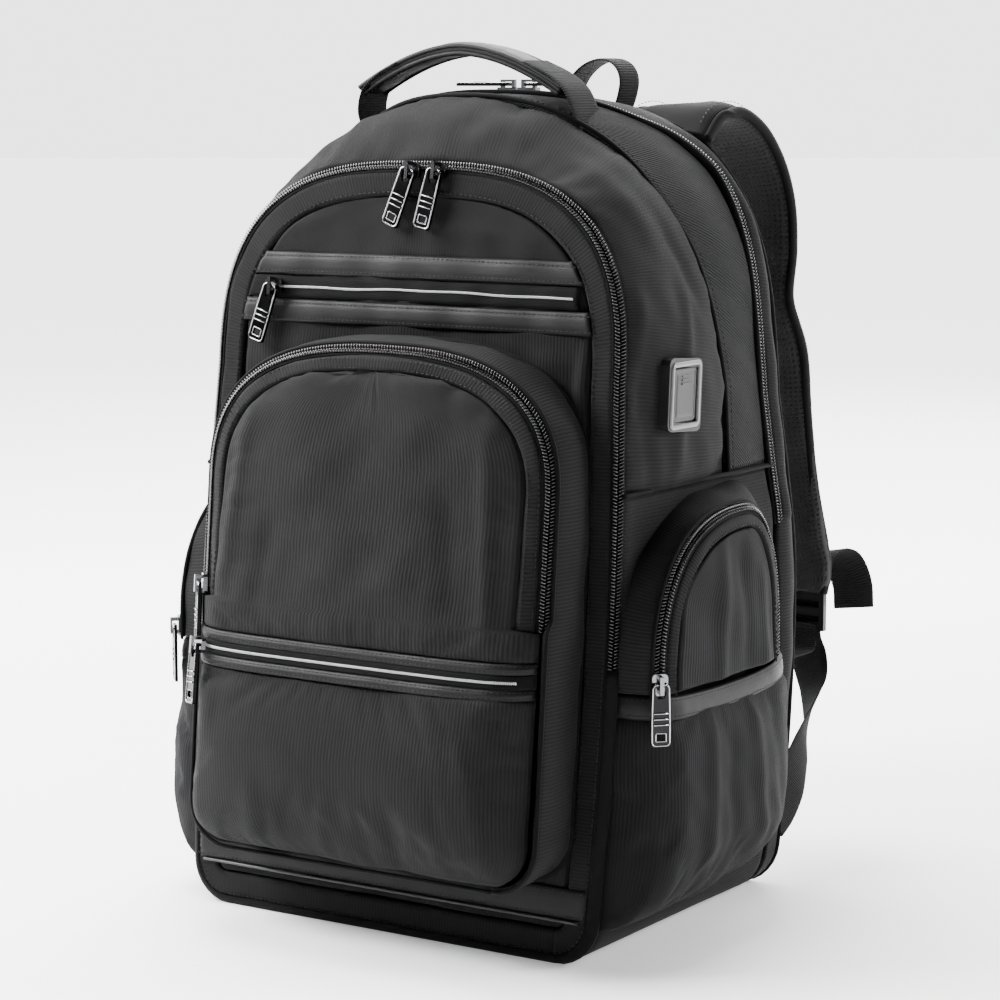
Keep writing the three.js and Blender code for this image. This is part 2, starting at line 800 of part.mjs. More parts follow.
function sideGusset() {
  const layer = (inset) => {
    const start = lineRound(sideFootOutline, { inset });
    const end = lineRound(sideZipOutline, { inset, shift: EDGE });
    return linesBetween(start, end, WALL_ROWS, SIDE_WALL_SWELL).map(overHem);
  };
  return cut(turnedRight(wallBetween(layer(0), layer(CLOTH), false)), clearOfBody);
}

const SIDE_COLUMNS = [
  { across: -1, out: 0 },
  { across: -0.8, out: 0.7 },
  { across: -0.3, out: 1 },
  { across: 0.3, out: 1 },
  { across: 0.8, out: 0.6 },
  { across: 1, out: 0 },
];

function sideFace() {
  const line = overHem(lineRound(sideZipOutline, { inset: EDGE }));
  const heights = line.slice(0, line.length / 2).map((p) => p.z);
  const face = (x, z, across) => {
    const rise = clamp01((SIDE_CROWN - EDGE - z) / (SIDE_CROWN - SIDE_ARCH));
    const swell = readTable(SIDE_COLUMNS, 'across', 'out', across) * Math.sqrt(rise);
    return -(HALF_WIDTH + SIDE_PROUD + SIDE_BULGE * swell);
  };
  return turnedRight(panelAcross(line, heights, SIDE_COLUMNS.map((row) => row.across), face, CLOTH));
}

// The slip pocket below: each row is a height, as shares of the pocket's height, its reach out
// and how far its rear end comes forward, as a share of its length
const SLIP_ROWS = [
  { up: 0, out: 0.12, trim: 0.34 },
  { up: 0.07, out: 0.52, trim: 0.24 },
  { up: 0.17, out: 0.82, trim: 0.1 },
  { up: 0.34, out: 0.98, trim: 0.01 },
  { up: 0.55, out: 1, trim: 0 },
  { up: 0.78, out: 0.93, trim: 0 },
  { up: 1, out: 0.84, trim: 0 },
];
const SLIP_COLUMNS = [
  { along: 0, out: 0 },
  { along: 0.015, out: 0.5 },
  { along: 0.05, out: 0.86 },
  { along: 0.13, out: 0.98 },
  { along: 0.5, out: 1 },
  { along: 0.68, out: 0.96 },
  { along: 0.8, out: 0.8 },
  { along: 0.92, out: 0.4 },
  { along: 1, out: 0 },
];

// One section of the slip pocket at a height, moved outwards by a stand
function slipSection(z, stand) {
  const up = (z - SLIP_LOW) / (HEM_HIGH - SLIP_LOW);
  const reach = SLIP_OUT * readTable(SLIP_ROWS, 'up', 'out', up);
  const front = frontPlane(z) + EDGE + LEATHER + 3 * GAP;
  const length = (SLIP_REAR - front) * (1 - readTable(SLIP_ROWS, 'up', 'trim', up));
  const base = -(HALF_WIDTH - CLOTH);
  const points = SLIP_COLUMNS.map((c) => v3(front + length * c.along, base - (reach + CLOTH) * c.out, z));
  return points.map((point, i) => {
    const before = points[Math.max(0, i - 1)];
    const after = points[Math.min(points.length - 1, i + 1)];
    const out = v3(after.y - before.y, before.x - after.x, 0).normalize();
    return point.clone().addScaledVector(out, stand);
  });
}

function slipLayer(heights, stand, thickness) {
  const rows = heights.map((z) => [
    ...slipSection(z, stand),
    ...slipSection(z, stand - thickness).reverse(),
  ]);
  return cut(turnedRight(loft(rows)), clearOfBody);
}

const slipHeights = SLIP_ROWS.map((row) => SLIP_LOW + row.up * (HEM_HIGH - SLIP_LOW));
slipHeights.splice(slipHeights.length - 1, 0, HEM_LOW);

const sidePocketPieces = {
  gusset: [sideGusset(), cloth('nylon')],
  zipper: [turnedRight(bevelBand(sideZipOutline, overHem)), coil('coil')],
  face: [sideFace(), cloth('nylon')],
  slip: [slipLayer(slipHeights, 0, CLOTH), cloth('nylon')],
  hem: [slipLayer([HEM_LOW, HEM_HIGH], GAP + LEATHER, LEATHER), leather('leather')],
};
for (const [part, [geometry, material]] of Object.entries(sidePocketPieces)) {
  addPiece(`side_${part}_right`, geometry, material);
  addPiece(`side_${part}_left`, mirrored(geometry), material);
}

// Ribbons: a row for each place along the route, with its middle and the direction of its width

function ribbonFrames(route) {
  const places = route.map((row) => v3(row.x, row.y, row.z));
  return route.map((row, i) => {
    const before = places[Math.max(0, i - 1)];
    const after = places[Math.min(places.length - 1, i + 1)];
    const along = after.clone().sub(before).normalize();
    const side = v3(...row.side);
    side.addScaledVector(along, -side.dot(along)).normalize();
    return { place: places[i], side, up: side.clone().cross(along) };
  });
}

// Half of a rounded section, from one edge to the other, as shares of width and thickness
const ROUND_HALF = [
  { across: -0.5, up: 0.16 },
  { across: -0.38, up: 0.5 },
  { across: 0.38, up: 0.5 },
  { across: 0.5, up: 0.16 },
];
const FLAT_HALF = [
  { across: -0.5, up: 0.5 },
  { across: 0.5, up: 0.5 },
];

// A tape that twists needs more points across, or its two faces would pass through each other
const TAPE_HALF = [
  { across: -0.5, up: 0.5 },
  { across: -0.17, up: 0.5 },
  { across: 0.17, up: 0.5 },
  { across: 0.5, up: 0.5 },
];

function ribbon(route, wide, thick, half = FLAT_HALF) {
  const sections = ribbonFrames(route).map(({ place, side, up }, i) => {
    const width = wide * (route[i].share ?? 1);
    const spot = (across, high) => place.clone()
      .addScaledVector(side, across * width)
      .addScaledVector(up, high * thick);
    const top = half.map((p) => spot(p.across, p.up));
    const under = half.map((p) => spot(p.across, -p.up)).reverse();
    return [...top, ...under];
  });
  return loft(sections);
}

// Handle: a leather grip on an arch, with a webbing leg under each end

const GRIP_STEPS = 12;
const gripMiddle = (share) => HANDLE_TOP - GRIP_THICK / 2 - HANDLE_DROP * Math.abs(share) ** 1.8;

function handleGrip() {
  const route = Array.from({ length: GRIP_STEPS + 1 }, (_, i) => {
    const share = -1 + (2 * i) / GRIP_STEPS;
    const x = HANDLE_SHIFT + HANDLE_HALF * share;
    return { x, y: HANDLE_Y, z: gripMiddle(share), side: [0, 1, 0] };
  });
  return ribbon(route, GRIP_WIDE, GRIP_THICK, ROUND_HALF);
}
addPiece('handle_grip', handleGrip(), leather('leather'));

// Each leg: where it leaves the bag, where it bows out to and which end of the grip it holds
const HANDLE_LEGS = [
  { name: 'handle_web_left', foot: -68, bow: -82, end: -1 },
  { name: 'handle_web_right', foot: 74, bow: 68, end: 1 },
];
const LEG_REACH = 0.92;
// The grip slopes at its ends, so measured upright it is thicker there
const GRIP_SLANT = 1.25;

for (const leg of HANDLE_LEGS) {
  const topX = HANDLE_SHIFT + leg.end * HANDLE_HALF * LEG_REACH;
  const topZ = gripMiddle(LEG_REACH + WEB_THICK / HANDLE_HALF) - GRIP_SLANT * GRIP_THICK / 2 - GAP;
  const footZ = HEIGHT - LEG_SINK;
  const bowZ = footZ + LEG_BOW;
  const place = (x, z) => ({ x, y: HANDLE_Y, z, side: [0, 1, 0] });
  const route = [
    place(leg.foot, footZ),
    place((leg.foot + leg.bow) / 2, (footZ + bowZ) / 2 + LEG_CROWN),
    place(leg.bow, bowZ),
    place((leg.bow + topX) / 2, (bowZ + topZ) / 2 + LEG_CROWN),
    place(topX, topZ),
  ];
  addPiece(leg.name, cut(ribbon(route, WEB_WIDE, WEB_THICK), clearOfBody), webbing('webbing'));
}

// Hang loop: an arch of narrow webbing with both feet on the back of the bag
const LOOP_STEPS = 10;

function hangLoop() {
  const foot = HEIGHT - LOOP_SINK;
  const footHalf = LOOP_HALF * LOOP_PINCH;
  const bend = LOOP_TOP - LOOP_THICK / 2 - LOOP_HALF;
  const lean = (z) => LOOP_X + LOOP_LEAN * (z - foot);
  const place = (x, z) => ({ x: x + lean(z), y: LOOP_Y, z, side: [0, 1, 0] });
  const arch = Array.from({ length: LOOP_STEPS + 1 }, (_, i) => {
    const turn = Math.PI * (1 - i / LOOP_STEPS);
    return place(LOOP_HALF * Math.cos(turn), bend + LOOP_HALF * Math.sin(turn));
  });
  const legs = [place(-footHalf, foot), ...arch, place(footHalf, foot)];
  const below = BACK_CROWN - CLOTH;
  const panelSpace = box(2 * HALF_WIDTH, DEPTH, below, 0, LOOP_Y, below / 2);
  return cut(ribbon(legs, LOOP_WIDE, LOOP_THICK), clearOfBody, panelSpace);
}

// Shoulder straps. The right one's middle line, chosen by eye, as shares of half the bag's width,
// of its depth and of its height, and of the strap's own width; the left one mirrors it.
const STRAP_ROWS = [
  { out: 0.471, back: 0.926, up: 0.948, share: 1 },
  { out: 0.479, back: 1.000, up: 0.975, share: 1 },
  { out: 0.493, back: 1.083, up: 0.979, share: 1 },
  { out: 0.521, back: 1.175, up: 0.960, share: 1 },
  { out: 0.543, back: 1.253, up: 0.922, share: 1 },
  { out: 0.564, back: 1.304, up: 0.866, share: 1 },
  { out: 0.568, back: 1.318, up: 0.807, share: 1 },
  { out: 0.554, back: 1.318, up: 0.738, share: 1 },
  { out: 0.589, back: 1.369, up: 0.667, share: 1 },
  { out: 0.589, back: 1.406, up: 0.593, share: 0.98 },
  { out: 0.614, back: 1.433, up: 0.520, share: 0.96 },
  { out: 0.657, back: 1.447, up: 0.451, share: 0.9 },
  { out: 0.700, back: 1.456, up: 0.398, share: 0.82 },
  { out: 0.736, back: 1.456, up: 0.371, share: 0.74 },
  { out: 0.750, back: 1.454, up: 0.356, share: 0.64 },
  { out: 0.750, back: 1.452, up: 0.346, share: 0.5 },
];
const bagPlace = (row) => ({
  x: HALF_WIDTH * row.out,
  y: FRONT_FOOT_Y + DEPTH * row.back,
  z: HEIGHT * row.up,
  side: row.side ?? [1, 0, 0],
  share: row.share,
});
const STRAP_ROUTE = STRAP_ROWS.map(bagPlace);
const strapEnd = STRAP_ROUTE[STRAP_ROUTE.length - 1];
const lockTop = strapEnd.z - 2 * GAP;
const lockFoot = lockTop - LOCK_HIGH;
const tapeStand = LOCK_THICK / 2 + 2 * GAP + TAPE_THICK / 2;

const byStrapEnd = (right, back, up, side = [1, 0, 0]) => ({
  x: strapEnd.x + right, y: strapEnd.y + back, z: strapEnd.z + up, side,
});
const lockIn = lockFoot + LOCK_BAR - strapEnd.z;
const lockOut = lockFoot - LOCK_BAR - strapEnd.z;

// The tape that runs down to the rear corner of the base, half a turn of twist on its way. It
// starts with its loose tail, which arches back and down behind the end of the strap.
const CORNER_TAPE = [
  byStrapEnd(21, 33, -14, [0.9, 0.4, 0.2]),
  byStrapEnd(18, 36, 2, [0.9, 0.4, 0.1]),
  byStrapEnd(12, 33, 16, [0.9, 0.3, 0]),
  byStrapEnd(6, 24, 23),
  byStrapEnd(2, 16, 18),
  byStrapEnd(0.5, 12, 8),
  byStrapEnd(0, 8, -1),
  byStrapEnd(0, 4.5, -10),
  byStrapEnd(0, tapeStand, lockIn),
  byStrapEnd(0, tapeStand, lockOut),
  byStrapEnd(4, tapeStand, lockOut - LOCK_HIGH / 2, [1, 0, 0.1]),
  bagPlace({ out: 0.836, back: 1.429, up: 0.226, side: [0.9, -0.3, 0.3] }),
  bagPlace({ out: 0.854, back: 1.396, up: 0.208, side: [0.72, -0.5, 0.42] }),
  bagPlace({ out: 0.871, back: 1.359, up: 0.189, side: [0.5, -0.65, 0.5] }),
  bagPlace({ out: 0.889, back: 1.313, up: 0.170, side: [0.27, -0.7, 0.6] }),
  bagPlace({ out: 0.907, back: 1.267, up: 0.151, side: [0, -0.7, 0.7] }),
  bagPlace({ out: 0.936, back: 1.166, up: 0.115, side: [-0.4, -0.5, 0.7] }),
  bagPlace({ out: 0.950, back: 1.074, up: 0.092, side: [-0.6, -0.3, 0.7] }),
  bagPlace({ out: 0.957, back: 1.000, up: 0.080, side: [-0.7, 0, 0.7] }),
];

// The other tape, from the lock to the back of the bag
const BACK_TAPE = [
  byStrapEnd(0, -tapeStand, lockIn),
  byStrapEnd(0, -tapeStand, lockOut),
  byStrapEnd(1, -tapeStand - LOCK_THICK, lockOut - LOCK_HIGH / 4),
  bagPlace({ out: 0.764, back: 1.359, up: 0.264, side: [0.95, 0.1, 0.25] }),
  bagPlace({ out: 0.771, back: 1.304, up: 0.258, side: [0.8, 0.15, 0.55] }),
  bagPlace({ out: 0.786, back: 1.244, up: 0.252, side: [0.55, 0.1, 0.8] }),
  bagPlace({ out: 0.800, back: 1.184, up: 0.247, side: [0.3, 0.05, 0.95] }),
  bagPlace({ out: 0.807, back: 1.120, up: 0.243, side: [0.1, 0, 1] }),
  bagPlace({ out: 0.807, back: 1.046, up: 0.239, side: [0, 0, 1] }),
];

function ladderLock() {
  const plate = new THREE.Shape();
  const w = LOCK_WIDE / 2;
  plate.moveTo(-w, lockFoot).lineTo(w, lockFoot).lineTo(w, lockTop).lineTo(-w, lockTop);
  const slot = (LOCK_HIGH - 3 * LOCK_BAR) / 2;
  for (const low of [lockFoot + LOCK_BAR, lockFoot + 2 * LOCK_BAR + slot]) {
    const hole = new THREE.Path();
    const x = w - LOCK_SIDE;
    hole.moveTo(-x, low).lineTo(-x, low + slot).lineTo(x, low + slot).lineTo(x, low);
    plate.holes.push(hole);
  }
  return new THREE.ExtrudeGeometry(plate, { depth: LOCK_THICK, bevelEnabled: false, steps: 1 })
    .rotateX(Math.PI / 2)
    .translate(strapEnd.x, strapEnd.y + LOCK_THICK / 2, 0);
}

const trimmed = (geometry) => cut(geometry, clearOfBody, backSpaceOfPads());

function backSpaceOfPads() {
  const line = lineRound(backOutline, { inset: CLOTH });
  const depth = depthAt(BACK_LINE);
  const heights = line.slice(0, line.length / 2).map((p) => p.z);
  const out = BACK_BULGE + 2 * GAP;
  return panelAcross(line, heights, FLAT_COLUMNS, (x, z) => depth(z) + out, -BACK_PAD);
}

const strapPieces = {
  shoulder_strap: [trimmed(ribbon(STRAP_ROUTE, STRAP_WIDE, STRAP_THICK, ROUND_HALF)), cloth('strap')],
  ladder_lock: [bareMesh(ladderLock()), cloth('plastic')],
  corner_tape: [trimmed(ribbon(CORNER_TAPE, TAPE_WIDE, TAPE_THICK, TAPE_HALF)), webbing('webbing')],
  back_tape: [trimmed(ribbon(BACK_TAPE, TAPE_WIDE, TAPE_THICK, TAPE_HALF)), webbing('webbing')],
};
for (const [part, [geometry, material]] of Object.entries(strapPieces)) {
  addPiece(`${part}_right`, geometry, material);
  addPiece(`${part}_left`, mirrored(geometry), material);
}
addPiece('hang_loop', hangLoop(), webbing('webbing'));

// Charging port on the right side: a rounded frame with a soft cover sunk into it

const CORNER_TURNS = [0, 45, 90];

function roundedShape(wide, high, corner, Kind = THREE.Shape) {
  const shape = new Kind();
  const quarters = [[1, 1, 0], [-1, 1, 90], [-1, -1, 180], [1, -1, 270]];
  quarters.forEach(([right, up, start]) => {
    for (const turn of CORNER_TURNS) {
      const angle = THREE.MathUtils.degToRad(start + turn);
      const x = right * (wide / 2 - corner) + corner * Math.cos(angle);
      const y = up * (high / 2 - corner) + corner * Math.sin(angle);
      if (shape.curves.length || shape.currentPoint.lengthSq() > 0) shape.lineTo(x, y);
      else shape.moveTo(x, y);
    }
  });
  return shape;
}

// A plate drawn as a shape, standing out of the right side to a given reach
function sidePlate(shape, reach) {
  const depth = PORT_OUT + 2 * PORT_CORNER;
  const plate = new THREE.ExtrudeGeometry(shape, { depth, bevelEnabled: false, steps: 1 })
    .rotateX(Math.PI / 2)
    .rotateY(THREE.MathUtils.degToRad(PORT_LEAN))
    .translate(PORT_Y, depth - HALF_WIDTH - reach, PORT_Z);
  return cut(turnedRight(plate), clearOfBody);
}

function portFrame() {
  const shape = roundedShape(PORT_WIDE, PORT_HIGH, PORT_CORNER);
  const inner = PORT_CORNER / 2;
  const hole = roundedShape(PORT_WIDE - 2 * PORT_RIM, PORT_HIGH - 2 * PORT_RIM, inner, THREE.Path);
  shape.holes.push(hole);
  return sidePlate(shape, PORT_OUT);
}

function portCover() {
  const room = 2 * (PORT_RIM + GAP);
  return sidePlate(roundedShape(PORT_WIDE - room, PORT_HIGH - room, PORT_CORNER / 2), PORT_OUT - PORT_SINK);
}

addPiece('port_frame', portFrame(), finish('plastic', 0x8b8d90, 0.5, 0));
addPiece('port_cover', portCover(), finish('rubber', 0x2a2a2c, 0.7, 0));

// Zip sliders and pulls. In a slider's own frame the pull hangs along -Z and -Y points out of the
// bag; the middle of the slider's back is the origin.

// How far out the pull's eye bar lies, in the middle of the room under the bridge
const EYE_OUT = GAP + SLIDER_BODY + EYE_ROOM / 2;
const BRIDGE_OUT = GAP + SLIDER_BODY + EYE_ROOM + BRIDGE_BAR;

// across: the zip runs across the way the pull hangs
function sliderBody(across) {
  const wide = across ? SLIDER_LONG : SLIDER_WIDE;
  const long = across ? SLIDER_WIDE : SLIDER_LONG;
  const body = new THREE.ExtrudeGeometry(roundedShape(wide, long, SLIDER_CORNER), {
    depth: SLIDER_BODY, bevelEnabled: false, steps: 1,
  }).rotateX(Math.PI / 2).translate(0, -GAP, 0);
  const legHigh = EYE_ROOM + BRIDGE_BAR / 2 + SLIDER_BODY / 2;
  const legY = -GAP - SLIDER_BODY / 2 - legHigh / 2;
  const legZ = BRIDGE_HALF - BRIDGE_WIDE / 2;
  const leg = (z) => box(BRIDGE_WIDE, legHigh, BRIDGE_WIDE, 0, legY, z);
  const bar = box(BRIDGE_WIDE, BRIDGE_BAR, 2 * BRIDGE_HALF, 0, BRIDGE_BAR / 2 - BRIDGE_OUT, 0);
  return joined(body, leg(legZ), leg(-legZ), bar);
}

// Half of the pull's rim from the top down: distance from the eye bar, and half its width
const PULL_RIM = [
  { down: -EYE_BAR / 2, half: PULL_WIDE * 0.34 },
  { down: EYE_BAR * 0.6, half: PULL_WIDE * 0.46 },
  { down: PULL_LONG * 0.3, half: PULL_WIDE * 0.48 },
  { down: PULL_LONG * 0.62, half: PULL_WIDE * 0.5 },
  { down: PULL_LONG - EYE_BAR, half: PULL_WIDE * 0.5 },
  { down: PULL_LONG - EYE_BAR / 2, half: PULL_WIDE * 0.42 },
];
const PULL_RIDGES = [0.44, 0.53, 0.62];

function pullPlate() {
  const plate = new THREE.Shape();
  const rim = [
    ...PULL_RIM.map((row) => [-row.half, -row.down]),
    ...[...PULL_RIM].reverse().map((row) => [row.half, -row.down]),
  ];
  plate.moveTo(...rim[0]);
  rim.slice(1).forEach((point) => plate.lineTo(...point));
  const eye = new THREE.Path();
  const eyeTop = -EYE_BAR / 2;
  const e = PULL_EYE / 2;
  eye.moveTo(-e, eyeTop).lineTo(-e, eyeTop - e).lineTo(-e / 2, eyeTop - PULL_EYE);
  eye.lineTo(e / 2, eyeTop - PULL_EYE).lineTo(e, eyeTop - e).lineTo(e, eyeTop);
  const slot = new THREE.Path();
  const s = PULL_SLOT_WIDE / 2;
  const low = EYE_BAR / 2 - PULL_LONG + PULL_TIP;
  slot.moveTo(-s, low).lineTo(-s, low + PULL_SLOT_HIGH).lineTo(s, low + PULL_SLOT_HIGH).lineTo(s, low);
  plate.holes.push(eye, slot);
  const solid = new THREE.ExtrudeGeometry(plate, { depth: PULL_THICK, bevelEnabled: false, steps: 1 })
    .rotateX(Math.PI / 2)
    .translate(0, PULL_THICK / 2 - EYE_OUT, 0);
  const ridges = PULL_RIDGES.map((share) => box(
    PULL_WIDE * 0.8, PULL_RIDGE + RIDGE_ROOT, PULL_RIDGE * 2,
    0, (RIDGE_ROOT - PULL_THICK - PULL_RIDGE) / 2 - EYE_OUT, -PULL_LONG * share,
  ));
  return joined(solid, ...ridges);
}

// Turns a piece made in the slider's frame so that -Y points out and -Z along the pull
function placed(geometry, { at, out, hang }, lean = 0) {
  const down = v3(...hang).normalize();
  const outward = v3(...out);
  outward.addScaledVector(down, -outward.dot(down)).normalize();
  const basis = new THREE.Matrix4().makeBasis(
    outward.clone().cross(down), outward.clone().negate(), down.clone().negate(),
  );
  return geometry.clone()
    .rotateY(THREE.MathUtils.degToRad(lean))
    .applyMatrix4(basis)
    .translate(...at);
}

const down = [0, -FRONT_SLOPE, -1];
const outFront = [0, -1, FRONT_SLOPE];
const frontEdgeZ = FRONT_CROWN - EDGE;
const bevelMiddle = EDGE / 2;
const bandMiddle = halfway(zipBandLow, zipBandHigh);
const archFoot = POCKET_ZIP_END + SLIDER_LONG / 2 + 2 * GAP;
const sideFoot = HEM_HIGH + SLIDER_LONG / 2 + 2 * GAP;
const coilEnd = innerShares[0];
const coilEndX = POCKET_CENTRE + coilEnd * (POCKET_HALF - CLOTH - GAP);
const rearY = depthAt(REAR_ZIP_LINE)(HEIGHT) + PULL_THICK;

// Each slider's place on its zip, the way out of the bag, the way its pull hangs and how far that
// pull leans from there, in degrees
const SLIDERS = [
  {
    name: 'front_left', across: true, lean: 20, hang: down, out: outFront,
    at: [-4, frontPlane(frontEdgeZ), frontEdgeZ],
  },
  {
    name: 'front_right', across: true, lean: 13, hang: down, out: outFront,
    at: [14, frontPlane(frontEdgeZ), frontEdgeZ],
  },
  {
    name: 'organizer', across: true, lean: 17, hang: down, out: outFront,
    at: [ORGANIZER_ZIP_LEFT + SLIDER_IN, frontPlane(bandMiddle) - GAP - ORGANIZER_COIL, bandMiddle],
  },
  {
    name: 'pocket_arch', across: false, lean: 0, hang: down, out: [-1, -1, 0],
    at: [pocketOutline.left + bevelMiddle - GAP, pocketPlane(archFoot) + bevelMiddle - GAP, archFoot],
  },
  {
    name: 'pocket_lower', across: true, lean: 0, hang: [0, -0.15, -1], out: [-0.5, -0.866, 0],
    at: [coilEndX, pocketPlane(coilHeight) - pocketSwell(coilHeight, coilEnd) - coilStand, coilHeight],
  },
  {
    name: 'side_right', across: false, lean: 0, hang: [0, 0, -1], out: [0.7, -0.7, 0],
    at: [HALF_WIDTH + SIDE_PROUD - bevelMiddle, SIDE_FRONT + bevelMiddle, sideFoot],
  },
  {
    name: 'side_left', across: false, lean: 0, hang: [0, 0, -1], out: [-0.7, -0.7, 0],
    at: [-(HALF_WIDTH + SIDE_PROUD - bevelMiddle), SIDE_FRONT + bevelMiddle, sideFoot],
  },
  {
    name: 'rear_left', across: false, lean: 0, hang: [-1, 0, 0], out: [0, 0, 1],
    at: [REAR_PULLS - SLIDER_LONG * 0.6, rearY, REAR_CROWN + 2 * GAP],
  },
  {
    name: 'rear_right', across: false, lean: 0, hang: [1, 0, 0], out: [0, 0, 1],
    at: [REAR_PULLS + SLIDER_LONG * 0.6, rearY, REAR_CROWN + 2 * GAP],
  },
];

for (const row of SLIDERS) {
  addPiece(`slider_${row.name}`, placed(sliderBody(row.across), row), metal('slider metal'));
  addPiece(`pull_${row.name}`, placed(pullPlate(), row, row.lean), metal('pull metal'));
}

export default backpack;
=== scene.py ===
# Looks of the laptop backpack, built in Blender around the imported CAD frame.
# The front faces -Y and +Z is up. Shapes are worked out in millimetres in the frame of the CAD
# source, whose sizes are repeated here, and every mesh is turned into metres as it is made.
import math

import bmesh
import bpy
import numpy as np
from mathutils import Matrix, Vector


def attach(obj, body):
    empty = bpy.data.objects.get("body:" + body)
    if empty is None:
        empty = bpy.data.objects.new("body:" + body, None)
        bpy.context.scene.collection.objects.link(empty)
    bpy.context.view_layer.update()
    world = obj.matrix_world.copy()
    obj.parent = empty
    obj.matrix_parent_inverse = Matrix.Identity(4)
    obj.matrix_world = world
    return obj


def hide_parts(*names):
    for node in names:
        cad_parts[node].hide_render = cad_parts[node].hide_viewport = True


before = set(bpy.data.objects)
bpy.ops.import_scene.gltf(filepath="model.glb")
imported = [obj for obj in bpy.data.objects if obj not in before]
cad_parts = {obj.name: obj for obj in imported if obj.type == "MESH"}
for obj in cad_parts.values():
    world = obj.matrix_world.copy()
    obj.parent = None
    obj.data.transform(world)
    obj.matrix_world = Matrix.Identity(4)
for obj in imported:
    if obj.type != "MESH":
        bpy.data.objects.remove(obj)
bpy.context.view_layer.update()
MM = 0.001
ROOT = "bag"
FLOOR_LIFT = 0.02   # nothing of the bag sinks under the floor

# Sizes of the bag, in millimetres
HEIGHT, DEPTH, HALF_WIDTH = 477, 217, 140
FRONT_FOOT_Y, FRONT_SLOPE, FRONT_CROWN, FOOT_RADIUS = -105, 0.092, 441, 25
SIDE_SEAM, FRONT_ZIP_END, REAR_ZIP_END = 261, 166, 225
EDGE = 5
POCKET_CENTRE, POCKET_HALF, POCKET_PROUD, POCKET_FLOOR, POCKET_CROWN = 5, 118, 38, 47, 340
POCKET_ARCH, POCKET_RADIUS, POCKET_BULGE, POCKET_ZIP_END = 258, 26, 24, 190
STRIP_LOW, STRIP_HIGH = 155, 173
SIDE_PROUD, SIDE_FRONT, SIDE_REAR, SIDE_CREST, SIDE_CROWN = 29, -80, 62, 14, 249
SIDE_ARCH, SIDE_BULGE = 160, 6
HEM_LOW, HEM_HIGH, SLIP_LOW, SLIP_REAR, SLIP_OUT = 139, 153, 18, 106, 40

CENTRE = np.array([0.0, 10.0, 220.0])   # inside the bag: faces are turned away from it


# Camera

CAMERA_PLACE = (0.97058, -1.47501, 0.484)          # metres
CAMERA_AZIMUTH, CAMERA_PITCH = 33, 7.88            # degrees to the right of the front, and down
LENS, SENSOR, FARTHEST = 108, 36, 20


def make_camera():
    data = bpy.data.cameras.new("camera")
    data.lens = LENS
    data.sensor_width = SENSOR
    data.clip_end = FARTHEST
    camera = bpy.data.objects.new("camera", data)
    bpy.context.scene.collection.objects.link(camera)
    azimuth, pitch = math.radians(CAMERA_AZIMUTH), math.radians(CAMERA_PITCH)
    look = Vector((-math.sin(azimuth) * math.cos(pitch),
                   math.cos(azimuth) * math.cos(pitch), -math.sin(pitch)))
    camera.location = CAMERA_PLACE
    camera.rotation_euler = look.to_track_quat("-Z", "Y").to_euler()
    bpy.context.scene.camera = camera


make_camera()


# Numbers

def curve(rows, x):
    """A smooth line through a table of (x, y) rows, level at its peaks, read at x."""
    xs, ys = np.array(rows, float).T
    slope = np.diff(ys) / np.diff(xs)
    lean = np.concatenate([[slope[0]], np.zeros(len(xs) - 2), [slope[-1]]])
    for i in range(1, len(xs) - 1):
        if slope[i - 1] * slope[i] > 0:
            lean[i] = 2 * slope[i - 1] * slope[i] / (slope[i - 1] + slope[i])
    x = np.clip(x, xs[0], xs[-1])
    i = np.clip(np.searchsorted(xs, x) - 1, 0, len(xs) - 2)
    h = xs[i + 1] - xs[i]
    t = (x - xs[i]) / h
    return ((2 * t**3 - 3 * t**2 + 1) * ys[i] + (t**3 - 2 * t**2 + t) * h * lean[i]
            + (3 * t**2 - 2 * t**3) * ys[i + 1] + (t**3 - t**2) * h * lean[i + 1])


def waves(points, seed, length, count=7):
    """Soft irregular waves through space, about -1 to 1, of roughly that length."""
    rng = np.random.default_rng(seed)
    k = rng.normal(size=(count, 3))
    k *= (2 * math.pi / length) * rng.uniform(0.6, 1.5, (count, 1)) / np.linalg.norm(k, axis=1)[:, None]
    phase = rng.uniform(0, 2 * math.pi, count)
    return np.sin(np.asarray(points) @ k.T + phase).sum(-1) / math.sqrt(count)


def fold(points, a, b, width, height):
    """A rounded ridge, or a dent where height is negative, along the line from a to b."""
    a, b = np.array(a, float), np.array(b, float)
    ab = b - a
    t = ((points - a) @ ab) / (ab @ ab)
    near = a + np.clip(t, 0, 1)[..., None] * ab
    d = np.linalg.norm(points - near, axis=-1)
    taper = np.clip(np.minimum(t + 0.15, 1.15 - t) / 0.3, 0, 1)
    return height * np.exp(-((d / width) ** 2)) * taper


def folds(points, rows):
    """Several folds at once, each row as start, end, width and height."""
    return sum(fold(points, *row) for row in rows)


# Outlines

SEAM_LINE = [(0, .677), (.629, .677), (.706, .645), (.767, .618), (.813, .594), (.853, .558),
             (.891, .521), (.933, .488), (.969, .447), (1, .401)]
REAR_ZIP_LINE = [(0, .935), (.314, .963), (.474, .954), (.537, .926), (.646, .885), (.73, .862),
                 (.818, .853), (.901, .838), (.95, .76), (.979, .65), (1.004, .585)]
BACK_LINE = [(0, 1), (.21, 1.041), (.417, 1.06), (.532, 1.028), (.642, .986), (.807, .949),
             (.901, .926), (.985, .917)]


def depth_at(rows):
    return lambda z: FRONT_FOOT_Y + DEPTH * curve(rows, np.asarray(z, float) / HEIGHT)


def front_plane(z):
    return FRONT_FOOT_Y + FRONT_SLOPE * np.asarray(z, float)


def pocket_plane(z):
    return front_plane(z) - POCKET_PROUD


FLOOR_STEPS = 40


